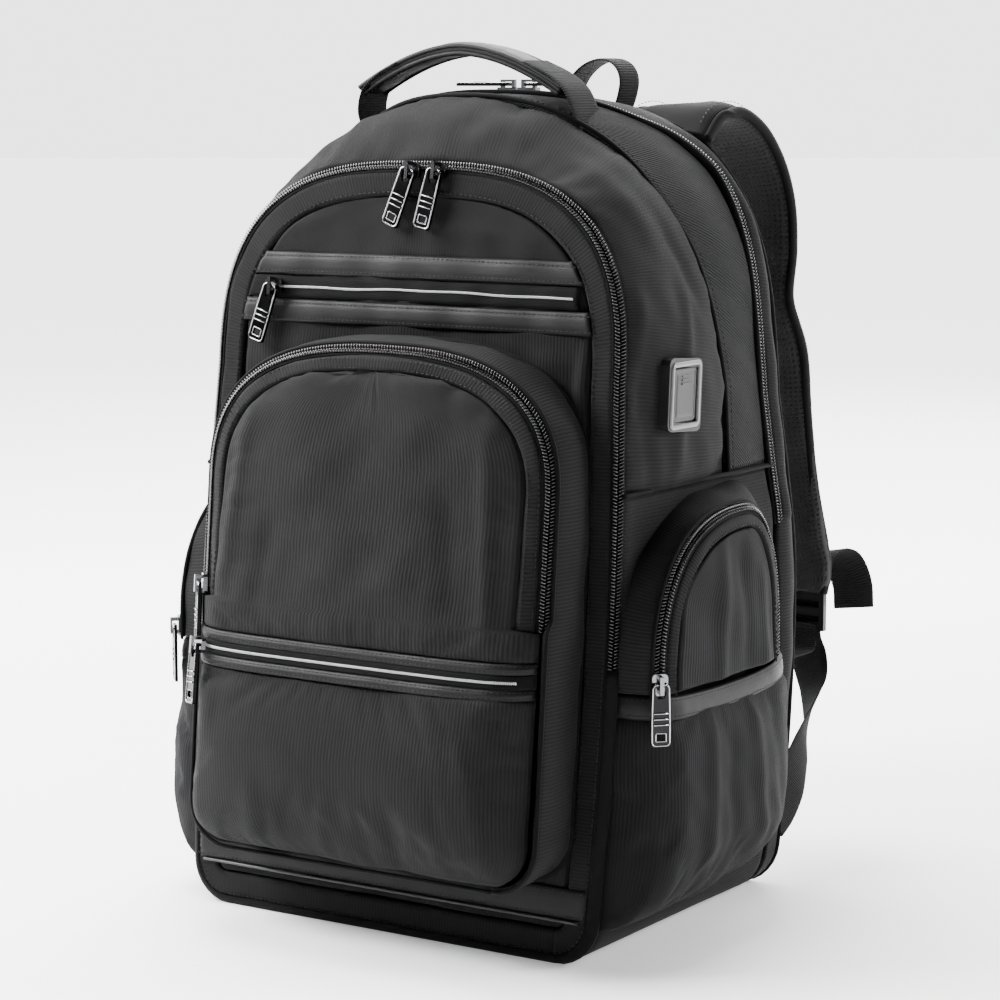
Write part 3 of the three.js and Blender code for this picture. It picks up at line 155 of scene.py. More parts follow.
class Outline:
    """A closed line with rounded foot corners, two legs and an arch. stops are heights on the
    legs that have a row of points of their own, each with the number of steps up to it."""

    def __init__(self, left, right, crest, floor, arch, crown, power, radius, belly, depth,
                 stops, flat=False, corner_steps=8, arch_steps=44):
        self.__dict__.update({k: v for k, v in locals().items() if k != "self"})

    def leg(self, sign, z, inset):
        foot = (self.right if sign > 0 else self.left) - sign * inset
        radius = np.maximum(1, self.radius - inset)
        floor = self.floor + inset
        crown = self.crown - inset
        belly = self.belly * np.sin(math.pi * np.clip(z / self.arch, 0, 1))
        rise = np.clip(radius - (z - floor), 0, radius)
        low = foot + sign * (belly - radius + np.sqrt(np.maximum(0, radius**2 - rise**2)))
        up = np.clip((z - self.arch) / (crown - self.arch), 0, 1)
        high = self.crest + (foot - self.crest) * (1 - up**self.power) ** (1 / self.power)
        return np.where(z <= self.arch, low, high)

    def levels(self, inset=0.0):
        radius = np.maximum(1, self.radius - inset)
        turn = np.radians(np.linspace(0, 90, self.corner_steps))
        foot = self.floor + inset + radius * (1 - np.cos(turn))
        legs, low = [], self.floor + self.radius
        for height, steps in [*self.stops, (self.arch, 10)]:
            legs.append(np.linspace(low, height, steps + 1)[1:])
            low = height
        rise = self.crown - inset - self.arch
        turn = np.radians(90 * np.linspace(0, 1, self.arch_steps + 1)[1:])
        arch = self.arch + rise * np.sin(turn) ** (2 / self.power)
        return np.concatenate([foot, *legs, arch])

    def loop(self, inset=0.0, shift=0.0):
        """Up the right leg, over the top, down the left one and back along the floor."""
        steps = self.levels()
        inset_at = inset(steps) if callable(inset) else np.full(len(steps), float(inset))
        shift_at = shift(steps) if callable(shift) else np.full(len(steps), float(shift))
        z = np.array([self.levels(i)[row] for row, i in enumerate(inset_at)])
        y = self.depth(z if self.flat else steps) + shift_at
        right = np.stack([self.leg(1, z, inset_at), y, z], -1)
        left = np.stack([self.leg(-1, z, inset_at), y, z], -1)
        t = np.linspace(0, 1, FLOOR_STEPS + 2)[1:-1, None]
        return np.concatenate([right, left[-2::-1], left[:1] * (1 - t) + right[:1] * t])

    def across(self, x, z, inset):
        """Where x lies between the legs at a height, from -1 to 1."""
        half = np.maximum(1.0, (self.leg(1, z, inset) - self.leg(-1, z, inset)) / 2)
        return np.clip((x - self.crest) / half, -1, 1)


BODY_STOPS = [(95, 14), (FRONT_ZIP_END, 14), (REAR_ZIP_END, 12), (SIDE_SEAM, 8)]


def body_outline(half, arch, crown, power, depth, flat=False):
    return Outline(-half, half, 0, 0, arch, crown, power, FOOT_RADIUS, 5, depth, BODY_STOPS, flat)


FRONT = body_outline(HALF_WIDTH, 320, FRONT_CROWN, 2.8, front_plane, True)
SEAM = body_outline(HALF_WIDTH, 300, HEIGHT, 2.4, depth_at(SEAM_LINE))
REAR_ZIP = body_outline(HALF_WIDTH + 1, 305, HEIGHT + 2, 2.8, depth_at(REAR_ZIP_LINE))
BACK = body_outline(HALF_WIDTH - 1, 300, HEIGHT - 7, 3, depth_at(BACK_LINE))
POCKET = Outline(POCKET_CENTRE - POCKET_HALF, POCKET_CENTRE + POCKET_HALF, POCKET_CENTRE,
                 POCKET_FLOOR, POCKET_ARCH, POCKET_CROWN, 2.6, POCKET_RADIUS, 0, pocket_plane,
                 [(STRIP_LOW, 16), (STRIP_HIGH, 6), (POCKET_ZIP_END, 4)], True)


def above(line, height):
    return line[line[:, 2] > height - 1e-6]


def below(line, height):
    """The part under a height, down the left leg, through the floor and up the right one."""
    high = np.nonzero(line[:, 2] > height + 1e-6)[0]
    return np.concatenate([line[high[-1] + 1:], line[:high[0]]])


def closed(line):
    return np.concatenate([line, line[:1]])


def strip_between(a, b, rows, swell):
    """Lines from line a to line b, swelling outwards midway, but flat on the floor."""
    t = np.linspace(0, 1, rows)[:, None, None]
    p = a[None] * (1 - t) + b[None] * t
    along = np.gradient(p, axis=1)
    out = np.stack([along[..., 2], np.zeros(p.shape[:2]), -along[..., 0]], -1)
    out /= np.linalg.norm(out, axis=-1, keepdims=True) + 1e-9
    turned = ((p - np.array([0, 0, HEIGHT / 2])) * out).sum(-1) < 0
    out[turned] *= -1
    up = np.clip((out[..., 2] - 0.1) / 0.4, 0, 1)
    out[..., 2] *= up * up * (3 - 2 * up)
    sideways = np.clip((p[..., 2] - FOOT_RADIUS) / FOOT_RADIUS, 0, 1)
    return p + out * (swell * np.sin(math.pi * t[..., 0]) * sideways)[..., None]


# Meshes

def grid_faces(rows, columns, wrap=False, start=0):
    r = np.arange(rows - 1)[:, None]
    c = np.arange(columns if wrap else columns - 1)[None]
    n = (c + 1) % columns
    quads = np.stack([r * columns + c, r * columns + n, (r + 1) * columns + n, (r + 1) * columns + c], -1)
    return quads.reshape(-1, 4) + start


def vertex_normals(points, faces):
    tri = points[faces[:, :3]] if faces.shape[1] == 3 else points[faces]
    if faces.shape[1] == 4:
        n = np.cross(tri[:, 2] - tri[:, 0], tri[:, 3] - tri[:, 1])
    else:
        n = np.cross(tri[:, 1] - tri[:, 0], tri[:, 2] - tri[:, 0])
    out = np.zeros_like(points)
    for k in range(faces.shape[1]):
        np.add.at(out, faces[:, k], n)
    return out / (np.linalg.norm(out, axis=1, keepdims=True) + 1e-12)


def turned_out(points, faces, centre=CENTRE):
    """The faces, turned so that they look away from the centre."""
    n = vertex_normals(points, faces)
    if ((points - centre) * n).sum() < 0:
        return faces[:, ::-1].copy()
    return faces


def thicken(points, faces, thick, cloth):
    """A closed slab: the faces, their copy moved inwards, and walls along the open edges."""
    n = vertex_normals(points, faces)
    count = len(points)
    edges = np.concatenate([faces[:, [k, (k + 1) % faces.shape[1]]] for k in range(faces.shape[1])])
    key = np.sort(edges, axis=1)
    _, first, uses = np.unique(key, axis=0, return_index=True, return_counts=True)
    rim = edges[first[uses == 1]]
    rim = rim[rim[:, 0] != rim[:, 1]]
    walls = np.stack([rim[:, 1], rim[:, 0], rim[:, 0] + count, rim[:, 1] + count], -1)
    all_points = np.concatenate([points, points - n * np.asarray(thick).reshape(-1, 1)])
    back = faces[:, ::-1] + count
    polygons = [*faces.tolist(), *back.tolist(), *walls.tolist()]
    return all_points, polygons, np.concatenate([cloth, cloth])


def make_object(name, points, polygons, material, cloth=None, smooth=True, ride=ROOT, weld=0.0):
    mesh = bpy.data.meshes.new(name)
    points = np.array(points, float)
    points[:, 2] = np.maximum(points[:, 2], FLOOR_LIFT)
    mesh.from_pydata((points * MM).tolist(), [], [list(map(int, f)) for f in polygons])
    if cloth is not None:
        attribute = mesh.attributes.new("cloth", "FLOAT_VECTOR", "POINT")
        attribute.data.foreach_set("vector", np.asarray(cloth, np.float32).reshape(-1))
    if weld:
        bm = bmesh.new()
        bm.from_mesh(mesh)
        bmesh.ops.remove_doubles(bm, verts=bm.verts, dist=weld * MM)
        bmesh.ops.dissolve_degenerate(bm, dist=1e-7, edges=bm.edges)
        bmesh.ops.recalc_face_normals(bm, faces=bm.faces)
        bm.to_mesh(mesh)
        bm.free()
    mesh.polygons.foreach_set("use_smooth", [smooth] * len(mesh.polygons))
    mesh.materials.append(material)
    obj = bpy.data.objects.new(name, mesh)
    bpy.context.scene.collection.objects.link(obj)
    if ride:
        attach(obj, ride)
    return obj


def lengths(p, axis):
    """Distance run along one axis of a grid, in millimetres."""
    step = np.linalg.norm(np.diff(p, axis=axis), axis=-1)
    first = np.zeros_like(np.take(step, [0], axis=axis))
    return np.cumsum(np.concatenate([first, step], axis=axis), axis=axis)


def grid_cloth(p):
    """Cloth coordinates of a grid: columns run along x, rows along y."""
    u, v = lengths(p, 1), lengths(p, 0)
    u = np.repeat(u.mean(0, keepdims=True), p.shape[0], 0)
    v = np.repeat(v.mean(1, keepdims=True), p.shape[1], 1)
    return np.stack([u, v, np.zeros_like(u)], -1).reshape(-1, 3)


def rolled(p, radius, ends=True):
    """How far a sewn sheet turns in at its edges, as a share of the radius."""
    v = lengths(p, 0)
    d = np.minimum(v, v[-1:] - v)
    if ends:
        u = lengths(p, 1)
        d = np.minimum(d, np.minimum(u, u[:, -1:] - u))
    t = 1 - np.clip(d / radius, 0, 1)
    return radius * (1 - np.sqrt(np.maximum(0, 1 - t * t))) * 0.9


def sheet_piece(name, p, material, push=None, thick=1.6, roll=2.2, ends=True, wrap=False,
                cloth=None, replaces=(), slot=None, centre=CENTRE, ride=ROOT):
    """A sewn sheet from a grid of points, pushed out by a grid of distances."""
    faces = grid_faces(*p.shape[:2], wrap)
    flat = p.reshape(-1, 3)
    faces = turned_out(flat, faces, centre)
    n = vertex_normals(flat, faces).reshape(p.shape)
    move = np.zeros(p.shape[:2]) if push is None else push(p) if callable(push) else push
    if roll:
        move = move - rolled(p, roll, ends)
    flat = (p + n * move[..., None]).reshape(-1, 3)
    points, polygons, cloths = thicken(flat, faces, thick, grid_cloth(p) if cloth is None else cloth)
    obj = make_object(name, points, polygons, material, cloths, ride=ride)
    if replaces:
        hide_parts(*replaces)
    return obj


# Materials

def nodes_of(name):
    material = bpy.data.materials.new(name)
    material.use_nodes = True
    tree = material.node_tree
    shader = tree.nodes["Principled BSDF"]
    return material, tree, shader


def link(tree, a, out, b, into):
    tree.links.new(a.outputs[out], b.inputs[into])


def node(tree, kind, **values):
    n = tree.nodes.new(kind)
    for key, value in values.items():
        if key in n.inputs:
            n.inputs[key].default_value = value
        else:
            setattr(n, key, value)
    return n


def ranged(tree, source, out, given=(0.0, 1.0), wanted=(0.0, 1.0), **more):
    """A value that runs over one range, turned into another range."""
    turned = node(tree, "ShaderNodeMapRange", **{
        "From Min": given[0], "From Max": given[1], "To Min": wanted[0], "To Max": wanted[1], **more})
    link(tree, source, out, turned, "Value")
    return turned


def cloth_coordinates(tree):
    return node(tree, "ShaderNodeAttribute", attribute_name="cloth")


def bands(tree, source, out, pitch, direction="X", distortion=0.0):
    """Rounded ribs of a pitch in the units of the coordinates."""
    per_unit = 10 if direction == "DIAGONAL" else 20
    wave = node(tree, "ShaderNodeTexWave", wave_type="BANDS", bands_direction=direction,
                wave_profile="SIN")
    wave.inputs["Scale"].default_value = 2 * math.pi / (per_unit * pitch)
    wave.inputs["Distortion"].default_value = distortion
    wave.inputs["Detail"].default_value = 1.0
    wave.inputs["Detail Scale"].default_value = 0.6
    link(tree, source, out, wave, "Vector")
    return wave


def mixed(tree, a, b, factor, blend="MIX"):
    """A colour mix node of two constants or links, each given as a colour or (node, output)."""
    mix = node(tree, "ShaderNodeMix", data_type="RGBA", blend_type=blend)
    for value, socket in ((a, mix.inputs[6]), (b, mix.inputs[7])):
        if isinstance(value[0], (int, float)):
            socket.default_value = (*value, 1)
        else:
            tree.links.new(value[0].outputs[value[1]], socket)
    if isinstance(factor, (int, float)):
        mix.inputs[0].default_value = factor
    else:
        tree.links.new(factor[0].outputs[factor[1]], mix.inputs[0])
    return mix


def weave(name, dark, light, pitch=2.0, direction="X", cross=0.8, bump=0.25, roughness=0.72,
          sheen=0.02, fine=0.0):
    """Cloth with ribs along one way, a finer weave over them and a slow change of shade."""
    material, tree, shader = nodes_of(name)
    place = cloth_coordinates(tree)
    ribs = bands(tree, place, "Vector", pitch, direction, 1.2)
    twill = bands(tree, place, "Vector", cross, "DIAGONAL", 0.6)
    patches = node(tree, "ShaderNodeTexNoise", Scale=0.03, Detail=2.0)
    link(tree, place, "Vector", patches, "Vector")
    grain = node(tree, "ShaderNodeTexNoise", Scale=1.6, Detail=3.0)
    link(tree, place, "Vector", grain, "Vector")
    height = node(tree, "ShaderNodeMath", operation="ADD")
    link(tree, ribs, "Fac", height, 0)
    half = node(tree, "ShaderNodeMath", operation="MULTIPLY")
    half.inputs[1].default_value = 0.8
    link(tree, twill, "Fac", half, 0)
    link(tree, half, 0, height, 1)
    total = node(tree, "ShaderNodeMath", operation="ADD")
    link(tree, height, 0, total, 0)
    link(tree, grain, "Fac", total, 1)
    bumped = node(tree, "ShaderNodeBump", Strength=bump, Distance=0.0006 + fine)
    link(tree, total, 0, bumped, "Height")
    link(tree, bumped, "Normal", shader, "Normal")
    share = node(tree, "ShaderNodeMath", operation="MULTIPLY")
    share.inputs[1].default_value = 0.38
    link(tree, total, 0, share, 0)
    threads = mixed(tree, dark, light, (share, 0))
    shade = ranged(tree, patches, "Fac", (0.3, 0.7), (0.8, 1.0))
    deep = tuple(c * 0.9 for c in dark)
    colour = mixed(tree, deep, (threads, 2), (shade, 0))
    link(tree, colour, 2, shader, "Base Color")
    shader.inputs["Roughness"].default_value = roughness
    shader.inputs["Specular IOR Level"].default_value = 0.06
    shader.inputs["Sheen Weight"].default_value = sheen
    shader.inputs["Sheen Roughness"].default_value = 0.45
    shader.inputs["Sheen Tint"].default_value = (0.9, 0.9, 0.95, 1)
    return material


def grained(name, dark, light, roughness, scale, bump, distance=0.0003, coat=0.0, metallic=0.0,
            specular=0.5):
    """Leather, moulded plastic, rubber or metal: a fine grain in the surface and its gloss."""
    material, tree, shader = nodes_of(name)
    place = node(tree, "ShaderNodeTexCoord")
    cells = node(tree, "ShaderNodeTexVoronoi", Scale=scale)
    link(tree, place, "Object", cells, "Vector")
    cloudy = node(tree, "ShaderNodeTexNoise", Scale=scale * 0.12, Detail=3.0)
    link(tree, place, "Object", cloudy, "Vector")
    bumped = node(tree, "ShaderNodeBump", Strength=bump, Distance=distance)
    link(tree, cells, "Distance", bumped, "Height")
    link(tree, bumped, "Normal", shader, "Normal")
    colour = mixed(tree, dark, light, (cloudy, "Fac"))
    link(tree, colour, 2, shader, "Base Color")
    gloss = ranged(tree, cloudy, "Fac", wanted=(roughness * 0.8, roughness * 1.25))
    link(tree, gloss, 0, shader, "Roughness")
    shader.inputs["Metallic"].default_value = metallic
    shader.inputs["Specular IOR Level"].default_value = specular
    shader.inputs["Coat Weight"].default_value = coat
    return material


def perforated(name, cloth, hole, pitch):
    """Knitted mesh with rows of round holes, painted near black: the dark layer under the mesh and
    painted shade inside the holes.
    """
    material, tree, shader = nodes_of(name)
    place = cloth_coordinates(tree)
    dots = node(tree, "ShaderNodeTexVoronoi", Scale=1 / pitch, Randomness=0.12)
    link(tree, place, "Vector", dots, "Vector")
    edge = ranged(tree, dots, "Distance", (0.2, 0.34))
    knit = node(tree, "ShaderNodeTexNoise", Scale=2.2, Detail=2.0)
    link(tree, place, "Vector", knit, "Vector")
    yarn = mixed(tree, tuple(c * 0.5 for c in cloth), cloth, (knit, "Fac"))
    # the holes take the near-black colour, painted shade in them; the yarn lies between
    colour = mixed(tree, hole, (yarn, 2), (edge, 0))
    link(tree, colour, 2, shader, "Base Color")
    bumped = node(tree, "ShaderNodeBump", Strength=0.8, Distance=0.001)
    link(tree, edge, 0, bumped, "Height")
    link(tree, bumped, "Normal", shader, "Normal")
    shader.inputs["Roughness"].default_value = 0.75
    shader.inputs["Specular IOR Level"].default_value = 0.3
    return material


def grey(value, blue=1.03):
    return (value, value, value * blue)


NYLON = weave("nylon", grey(0.001), grey(0.014), pitch=2.0, cross=0.9, bump=0.35)
POCKET_NYLON = weave("pocket nylon", grey(0.001), grey(0.017), pitch=2.1, cross=0.9, bump=0.4)
TWILL = weave("coarse twill", grey(0.003), grey(0.030), pitch=2.2, direction="DIAGONAL", cross=2.4,
              bump=0.55, fine=0.0006)
BINDING = weave("binding tape", grey(0.0015), grey(0.006), pitch=1.1, bump=0.35)
WEBBING = weave("webbing", grey(0.002), grey(0.022), pitch=1.6, direction="Y", cross=1.6, bump=0.6,
                fine=0.0006)
TAPE = weave("zip tape", grey(0.001), grey(0.005), pitch=0.9, direction="Y", bump=0.3)
STRAP_CLOTH = weave("strap cloth", grey(0.003), grey(0.010), pitch=1.2, cross=0.9)
# the second grey is the painted shade in the mesh holes
MESH = perforated("air mesh", grey(0.012), grey(0.001), 3.2)
LEATHER = grained("leatherette", grey(0.004), grey(0.007), 0.48, 1400, 0.3, specular=0.13)
PIPING = grained("pale piping", grey(0.02), grey(0.032), 0.4, 1400, 0.2, specular=0.3)
THREAD = grained("thread", grey(0.002), grey(0.005), 0.5, 3000, 0.2, specular=0.2)
LIGHT_THREAD = grained("light thread", grey(0.012), grey(0.02), 0.5, 3000, 0.2, specular=0.3)
COIL = grained("black coil", grey(0.003), grey(0.005), 0.24, 2500, 0.05, specular=0.55)
SILVER = grained("silver coil", grey(0.42), grey(0.58), 0.3, 2500, 0.1, metallic=0.9)
SLIDER = grained("slider metal", grey(0.16), grey(0.24), 0.16, 900, 0.05, metallic=1.0)
PULL = grained("pull metal", grey(0.012), grey(0.02), 0.2, 900, 0.05, metallic=1.0)
# shiny metal much lighter than the pulls: painted highlight on the pull rims, ridges and slot edges
BRIGHT = grained("polished metal", grey(0.3), grey(0.4), 0.14, 900, 0.03, metallic=1.0)
PLASTIC = grained("moulded plastic", grey(0.004), grey(0.008), 0.38, 1800, 0.15, specular=0.3)
RIM = grained("silver grey plastic", grey(0.10), grey(0.13), 0.3, 1800, 0.08, coat=0.2)
COVER = grained("soft cover", grey(0.02), grey(0.03), 0.42, 2200, 0.2, specular=0.3)


# Stitches, piping, zips

def frames_along(points):
    points = np.asarray(points, float)
    along = np.gradient(points, axis=0)
    return along / (np.linalg.norm(along, axis=1, keepdims=True) + 1e-9)


def resample(points, pitch, *others):
    points = np.asarray(points, float)
    run = np.concatenate([[0], np.cumsum(np.linalg.norm(np.diff(points, axis=0), axis=1))])
    count = max(2, int(run[-1] / pitch) + 1)
    at = np.linspace(0, run[-1], count)
    read = lambda a: np.stack([np.interp(at, run, np.asarray(a, float)[:, k]) for k in range(3)], -1)
    return [read(points), *[read(o) for o in others]]


def bars(places, along, side, up, half, shape):
    """Small closed bars with a cut-off section, one at each place. half is half the length,
    and shape the section as rows of side and up."""
    shape = np.array(shape, float)
    k = len(shape)
    points, polygons = [], []
    for i, (p, a, s, u) in enumerate(zip(places, along, side, up)):
        ring = p + shape[:, :1] * s + shape[:, 1:] * u
        tip = p + 0.5 * shape[:, :1] * s + 0.5 * shape[:, 1:] * u
        points += [tip - a * half, ring - a * half * 0.7, ring + a * half * 0.7, tip + a * half]
        base = i * 4 * k
        for row in range(3):
            for j in range(k):
                n = (j + 1) % k
                polygons.append([base + row * k + j, base + row * k + n,
                                 base + (row + 1) * k + n, base + (row + 1) * k + j])
        polygons.append([base + j for j in range(k)][::-1])
        polygons.append([base + 3 * k + j for j in range(k)])
    return np.concatenate(points), polygons


THREAD_SECTION = [(-0.32, -0.25), (0, 0.28), (0.32, -0.25)]


def stitches(name, line, normals, material=THREAD, pitch=3.3, length=2.1, body=ROOT):
    """A row of thread stitches along a line that lies on a surface."""
    p, n = resample(line, pitch, normals)
    n /= np.linalg.norm(n, axis=1, keepdims=True)
    a = frames_along(p)
    s = np.cross(a, n)
    points, polygons = bars(p + n * 0.12, a, s, n, length / 2, THREAD_SECTION)
    return make_object(name, points, polygons, material, ride=body)


def cord_round(name, line, radius, material, sides=8, closed=False, body=ROOT, squash=1.0, up=None):
    """A round welt or piping along a line."""
    line = np.asarray(line, float)
    a = frames_along(line)
    ref = np.array([0.0, 1.0, 0.0]) if up is None else np.asarray(up, float)
    s = np.cross(a, ref)
    s /= np.linalg.norm(s, axis=1, keepdims=True) + 1e-9
    u = np.cross(s, a)
    turn = np.linspace(0, 2 * math.pi, sides, endpoint=False)
    ring = (line[:, None] + radius * np.cos(turn)[None, :, None] * s[:, None]
            + radius * squash * np.sin(turn)[None, :, None] * u[:, None])
    polygons = grid_faces(len(line), sides, True).tolist()
    if not closed:
        polygons += [list(range(sides))[::-1], [(len(line) - 1) * sides + j for j in range(sides)]]
    return make_object(name, ring.reshape(-1, 3), polygons, material, weld=0.001, ride=body)


def coil_zip(name, middle, out, pitch=1.9, width=6.4, high=1.8, tape=9.0, material=COIL,
             replaces=(), slot="coil", tape_down=0.6):
    """A closed coil zip along a line: a woven tape and two rows of slanting teeth on it."""
    middle, out = resample(middle, pitch, out)
    out /= np.linalg.norm(out, axis=1, keepdims=True)
    a = frames_along(middle)
    side = np.cross(a, out)
    side /= np.linalg.norm(side, axis=1, keepdims=True)
    share = np.array([-0.5, -0.36, -0.12, 0, 0.12, 0.36, 0.5]) * tape
    lift = np.array([-0.25, 0, 0.1, 0.0, 0.1, 0, -0.25])
    p = (middle[None] - out[None] * tape_down + side[None] * share[:, None, None]
         + out[None] * lift[:, None, None])
    belt = sheet_piece(name + "_tape", p, TAPE, thick=0.9, roll=0, replaces=replaces, slot=slot)
    points, polygons = [], []
    shift = 0
    for sign in (-1, 1):
        slant = a * 0.42 + side * sign
        slant /= np.linalg.norm(slant, axis=1, keepdims=True)
        cross = np.cross(out, slant)
        # a ridge beside the middle and a lower outer turn, with a gap down the middle
        q = middle + side * sign * width * 0.27 + out * (high * 0.28) + a * (0 if sign > 0 else pitch / 2)
        section = [(-pitch * 0.31, -high * 0.5), (-pitch * 0.27, high * 0.2), (0, high * 0.5),
                   (pitch * 0.27, high * 0.2), (pitch * 0.31, -high * 0.5)]
        more, faces = bars(q, slant, cross, out, width * 0.235, section)
        points.append(more)
        polygons += [[i + shift for i in f] for f in faces]
        shift += len(more)
    teeth = make_object(name + "_teeth", np.concatenate(points), polygons, material)
    return belt, teeth


# Cloth simulation

def settled(p, pressure, grow, cap, seed, pinned=2, frames=18):
    """A sewn sheet let go: pinned at its edges, blown from inside and a little too large, so it
    takes its own folds. The result stays within the cap of where it started."""
    rows, columns = p.shape[:2]
    faces = turned_out(p.reshape(-1, 3), grid_faces(rows, columns))
    noise = 0.35 * waves(p, seed, 60)
    n = vertex_normals(p.reshape(-1, 3), faces).reshape(p.shape)
    start = (p + n * noise[..., None]).reshape(-1, 3)
    mesh = bpy.data.meshes.new("settling")
    mesh.from_pydata((start * MM * 10).tolist(), [], faces.tolist())
    obj = bpy.data.objects.new("settling", mesh)
    bpy.context.scene.collection.objects.link(obj)
    held = obj.vertex_groups.new(name="held")
    index = np.arange(rows * columns).reshape(rows, columns)
    inner = index[pinned:-pinned, pinned:-pinned]
    rim = np.setdiff1d(index, inner)
    held.add(rim.tolist(), 1.0, "REPLACE")
    cloth = obj.modifiers.new("cloth", "CLOTH")
    settings = cloth.settings
    settings.vertex_group_mass = "held"
    settings.quality = 6
    settings.mass = 0.3
    settings.tension_stiffness = 25
    settings.compression_stiffness = 25
    settings.shear_stiffness = 12
    settings.bending_stiffness = 1.5
    settings.shrink_min = -grow
    settings.use_pressure = True
    settings.uniform_pressure_force = pressure
    settings.effector_weights.gravity = 0
    cloth.collision_settings.use_collision = False
    cloth.collision_settings.use_self_collision = False
    scene = bpy.context.scene
    cloth.point_cache.frame_start = 1
    cloth.point_cache.frame_end = frames
    for step in range(1, frames + 1):
        scene.frame_set(step)
    done = obj.evaluated_get(bpy.context.evaluated_depsgraph_get())
    moved = np.empty(len(start) * 3)
    done.data.vertices.foreach_get("co", moved)
    moved = moved.reshape(-1, 3) / (MM * 10)
    scene.frame_set(1)
    bpy.data.objects.remove(obj)
    bpy.data.meshes.remove(mesh)
    move = moved - p.reshape(-1, 3)
    size = np.linalg.norm(move, axis=1, keepdims=True)
    move *= cap * np.tanh(size / cap) / (size + 1e-9)
    return p + move.reshape(p.shape)


# Body

def outwards(line, forward=0.0):
    """Unit lines away from the bag in the plane of an outline, leaning to the front or back."""
    a = frames_along(line)
    out = np.stack([a[:, 2], np.zeros(len(a)), -a[:, 0]], -1)
    turned = ((line - np.array([line[:, 0].mean(), 0, HEIGHT / 2])) * out).sum(1) < 0
    out[turned] *= -1
    out /= np.linalg.norm(out, axis=1, keepdims=True) + 1e-9
    out[:, 1] += forward
    return out / np.linalg.norm(out, axis=1, keepdims=True)


def over(line):
    return above(line, SIDE_SEAM)


def under(line):
    return below(line, SIDE_SEAM)


def upper_gusset():
    a, b = over(FRONT.loop(0, EDGE)), over(SEAM.loop(0, -0.4))
    p = strip_between(a, b, 40, 6)
    push = 1.5 * waves(p, 3, 75) + 0.5 * waves(p, 4, 30)
    for sign in (-1, 1):
        x = sign * 143
        push += folds(p, [
            ((x, -30, 262), (x, -8, 372), 6, 2.4),
            ((x, -70, 300), (x, -46, 402), 5, 1.9),
            ((x, -52, 262), (x, -60, 330), 6, -1.8),
            ((x, 8, 360), (sign * 128, -20, 430), 6, -1.8),
            ((sign * 100, -66, 438), (sign * 108, 10, 452), 5, 1.8),
        ])
    push += folds(p, [
        ((-60, -64, 446), (-70, 6, 474), 6, 1.6),
        ((48, -64, 446), (36, 4, 476), 6, -1.6),
    ])
    p = settled(p, 1.2, 0.012, 2.5, 11)
    sheet_piece("upper_gusset_cloth", p, NYLON, push, replaces=["upper_gusset"], slot="nylon")


def twill_band():
    a, b = over(SEAM.loop(0, 0.4)), over(REAR_ZIP.loop(0, -4.5))
    p = strip_between(a, b, 22, 1.5)
    push = 0.7 * waves(p, 7, 60)
    sheet_piece("twill_band_cloth", p, TWILL, push, replaces=["twill_band"], slot="twill")
    for name, line in (("front", over(SEAM.loop(-1.2, 0))), ("rear", over(REAR_ZIP.loop(-1.0, -4.6)))):
        cord_round("twill_piping_" + name, line, 1.5, BINDING)
    inner = strip_between(over(SEAM.loop(-2.2, 4.6)), over(SEAM.loop(-2.2, 5.0)), 2, 0)[0]
    stitches("twill_stitches", inner, outwards(inner), pitch=3.6)


def lower_gusset():
    a, m, b = under(FRONT.loop(0, EDGE)), under(SEAM.loop()), under(REAR_ZIP.loop(0, -3.9))
    first, second = strip_between(a, m, 24, 0), strip_between(m, b, 14, 0)
    p = np.concatenate([first, second[1:]])
    dip = np.clip((p[..., 2] - 40) / 40, 0, 1)
    push = (0.8 * waves(p, 9, 70)) * dip
    sheet_piece("lower_gusset_cloth", p, NYLON, push, replaces=["lower_gusset"], slot="nylon")


def cross_seams():
    """The welt that crosses each side where the upper and lower walls are sewn together."""
    z = SIDE_SEAM
    for sign in (-1, 1):
        y = np.linspace(-78, 96, 50)
        x = sign * (HALF_WIDTH + 0.9 + 5 * math.sin(math.pi * z / 320))
        line = np.stack([np.full(50, x), y, np.full(50, float(z))], -1)
        cord_round("cross_seam_" + ("right" if sign > 0 else "left"), line, 1.5, BINDING, up=(0, 0, 1))


def rear_gusset():
    def start(z):
        return np.where(z > REAR_ZIP_END, 4.2, -2.9)
    a, b = closed(REAR_ZIP.loop(0, start)), closed(BACK.loop(0, -0.4))
    p = strip_between(a, b, 20, 3)
    push = 0.7 * waves(p, 13, 60) * np.clip((p[..., 2] - 25) / 30, 0, 1)
    sheet_piece("rear_gusset_cloth", p, NYLON, push, ends=False, replaces=["rear_gusset"], slot="nylon")
    cord_round("back_piping", BACK.loop(0.4, 0.4), 1.7, BINDING)


BACK_COLUMNS = [(-1, 0), (-.82, .75), (-.5, 1), (-.2, .8), (0, .15), (.2, .8), (.5, 1), (.82, .75),
                (1, 0)]


def across_grid(outline, heights, inset, columns, y_at):
    """Rows of points between the legs of an outline, left to right."""
    left, right = outline.leg(-1, heights, inset), outline.leg(1, heights, inset)
    t = np.linspace(0, 1, columns)
    x = left[:, None] + (right - left)[:, None] * t[None]
    z = np.repeat(heights[:, None], columns, 1)
    return np.stack([x, y_at(x, z), z], -1)


def dense(outline, inset, step):
    z = outline.levels(inset)
    keep = [z[0]]
    for value in z[1:]:
        gap = value - keep[-1]
        if gap > step:
            keep += list(np.linspace(keep[-1], value, int(math.ceil(gap / step)) + 1)[1:])
        elif gap > 0.4 or value == z[-1]:
            keep.append(value)
    return np.array(keep)


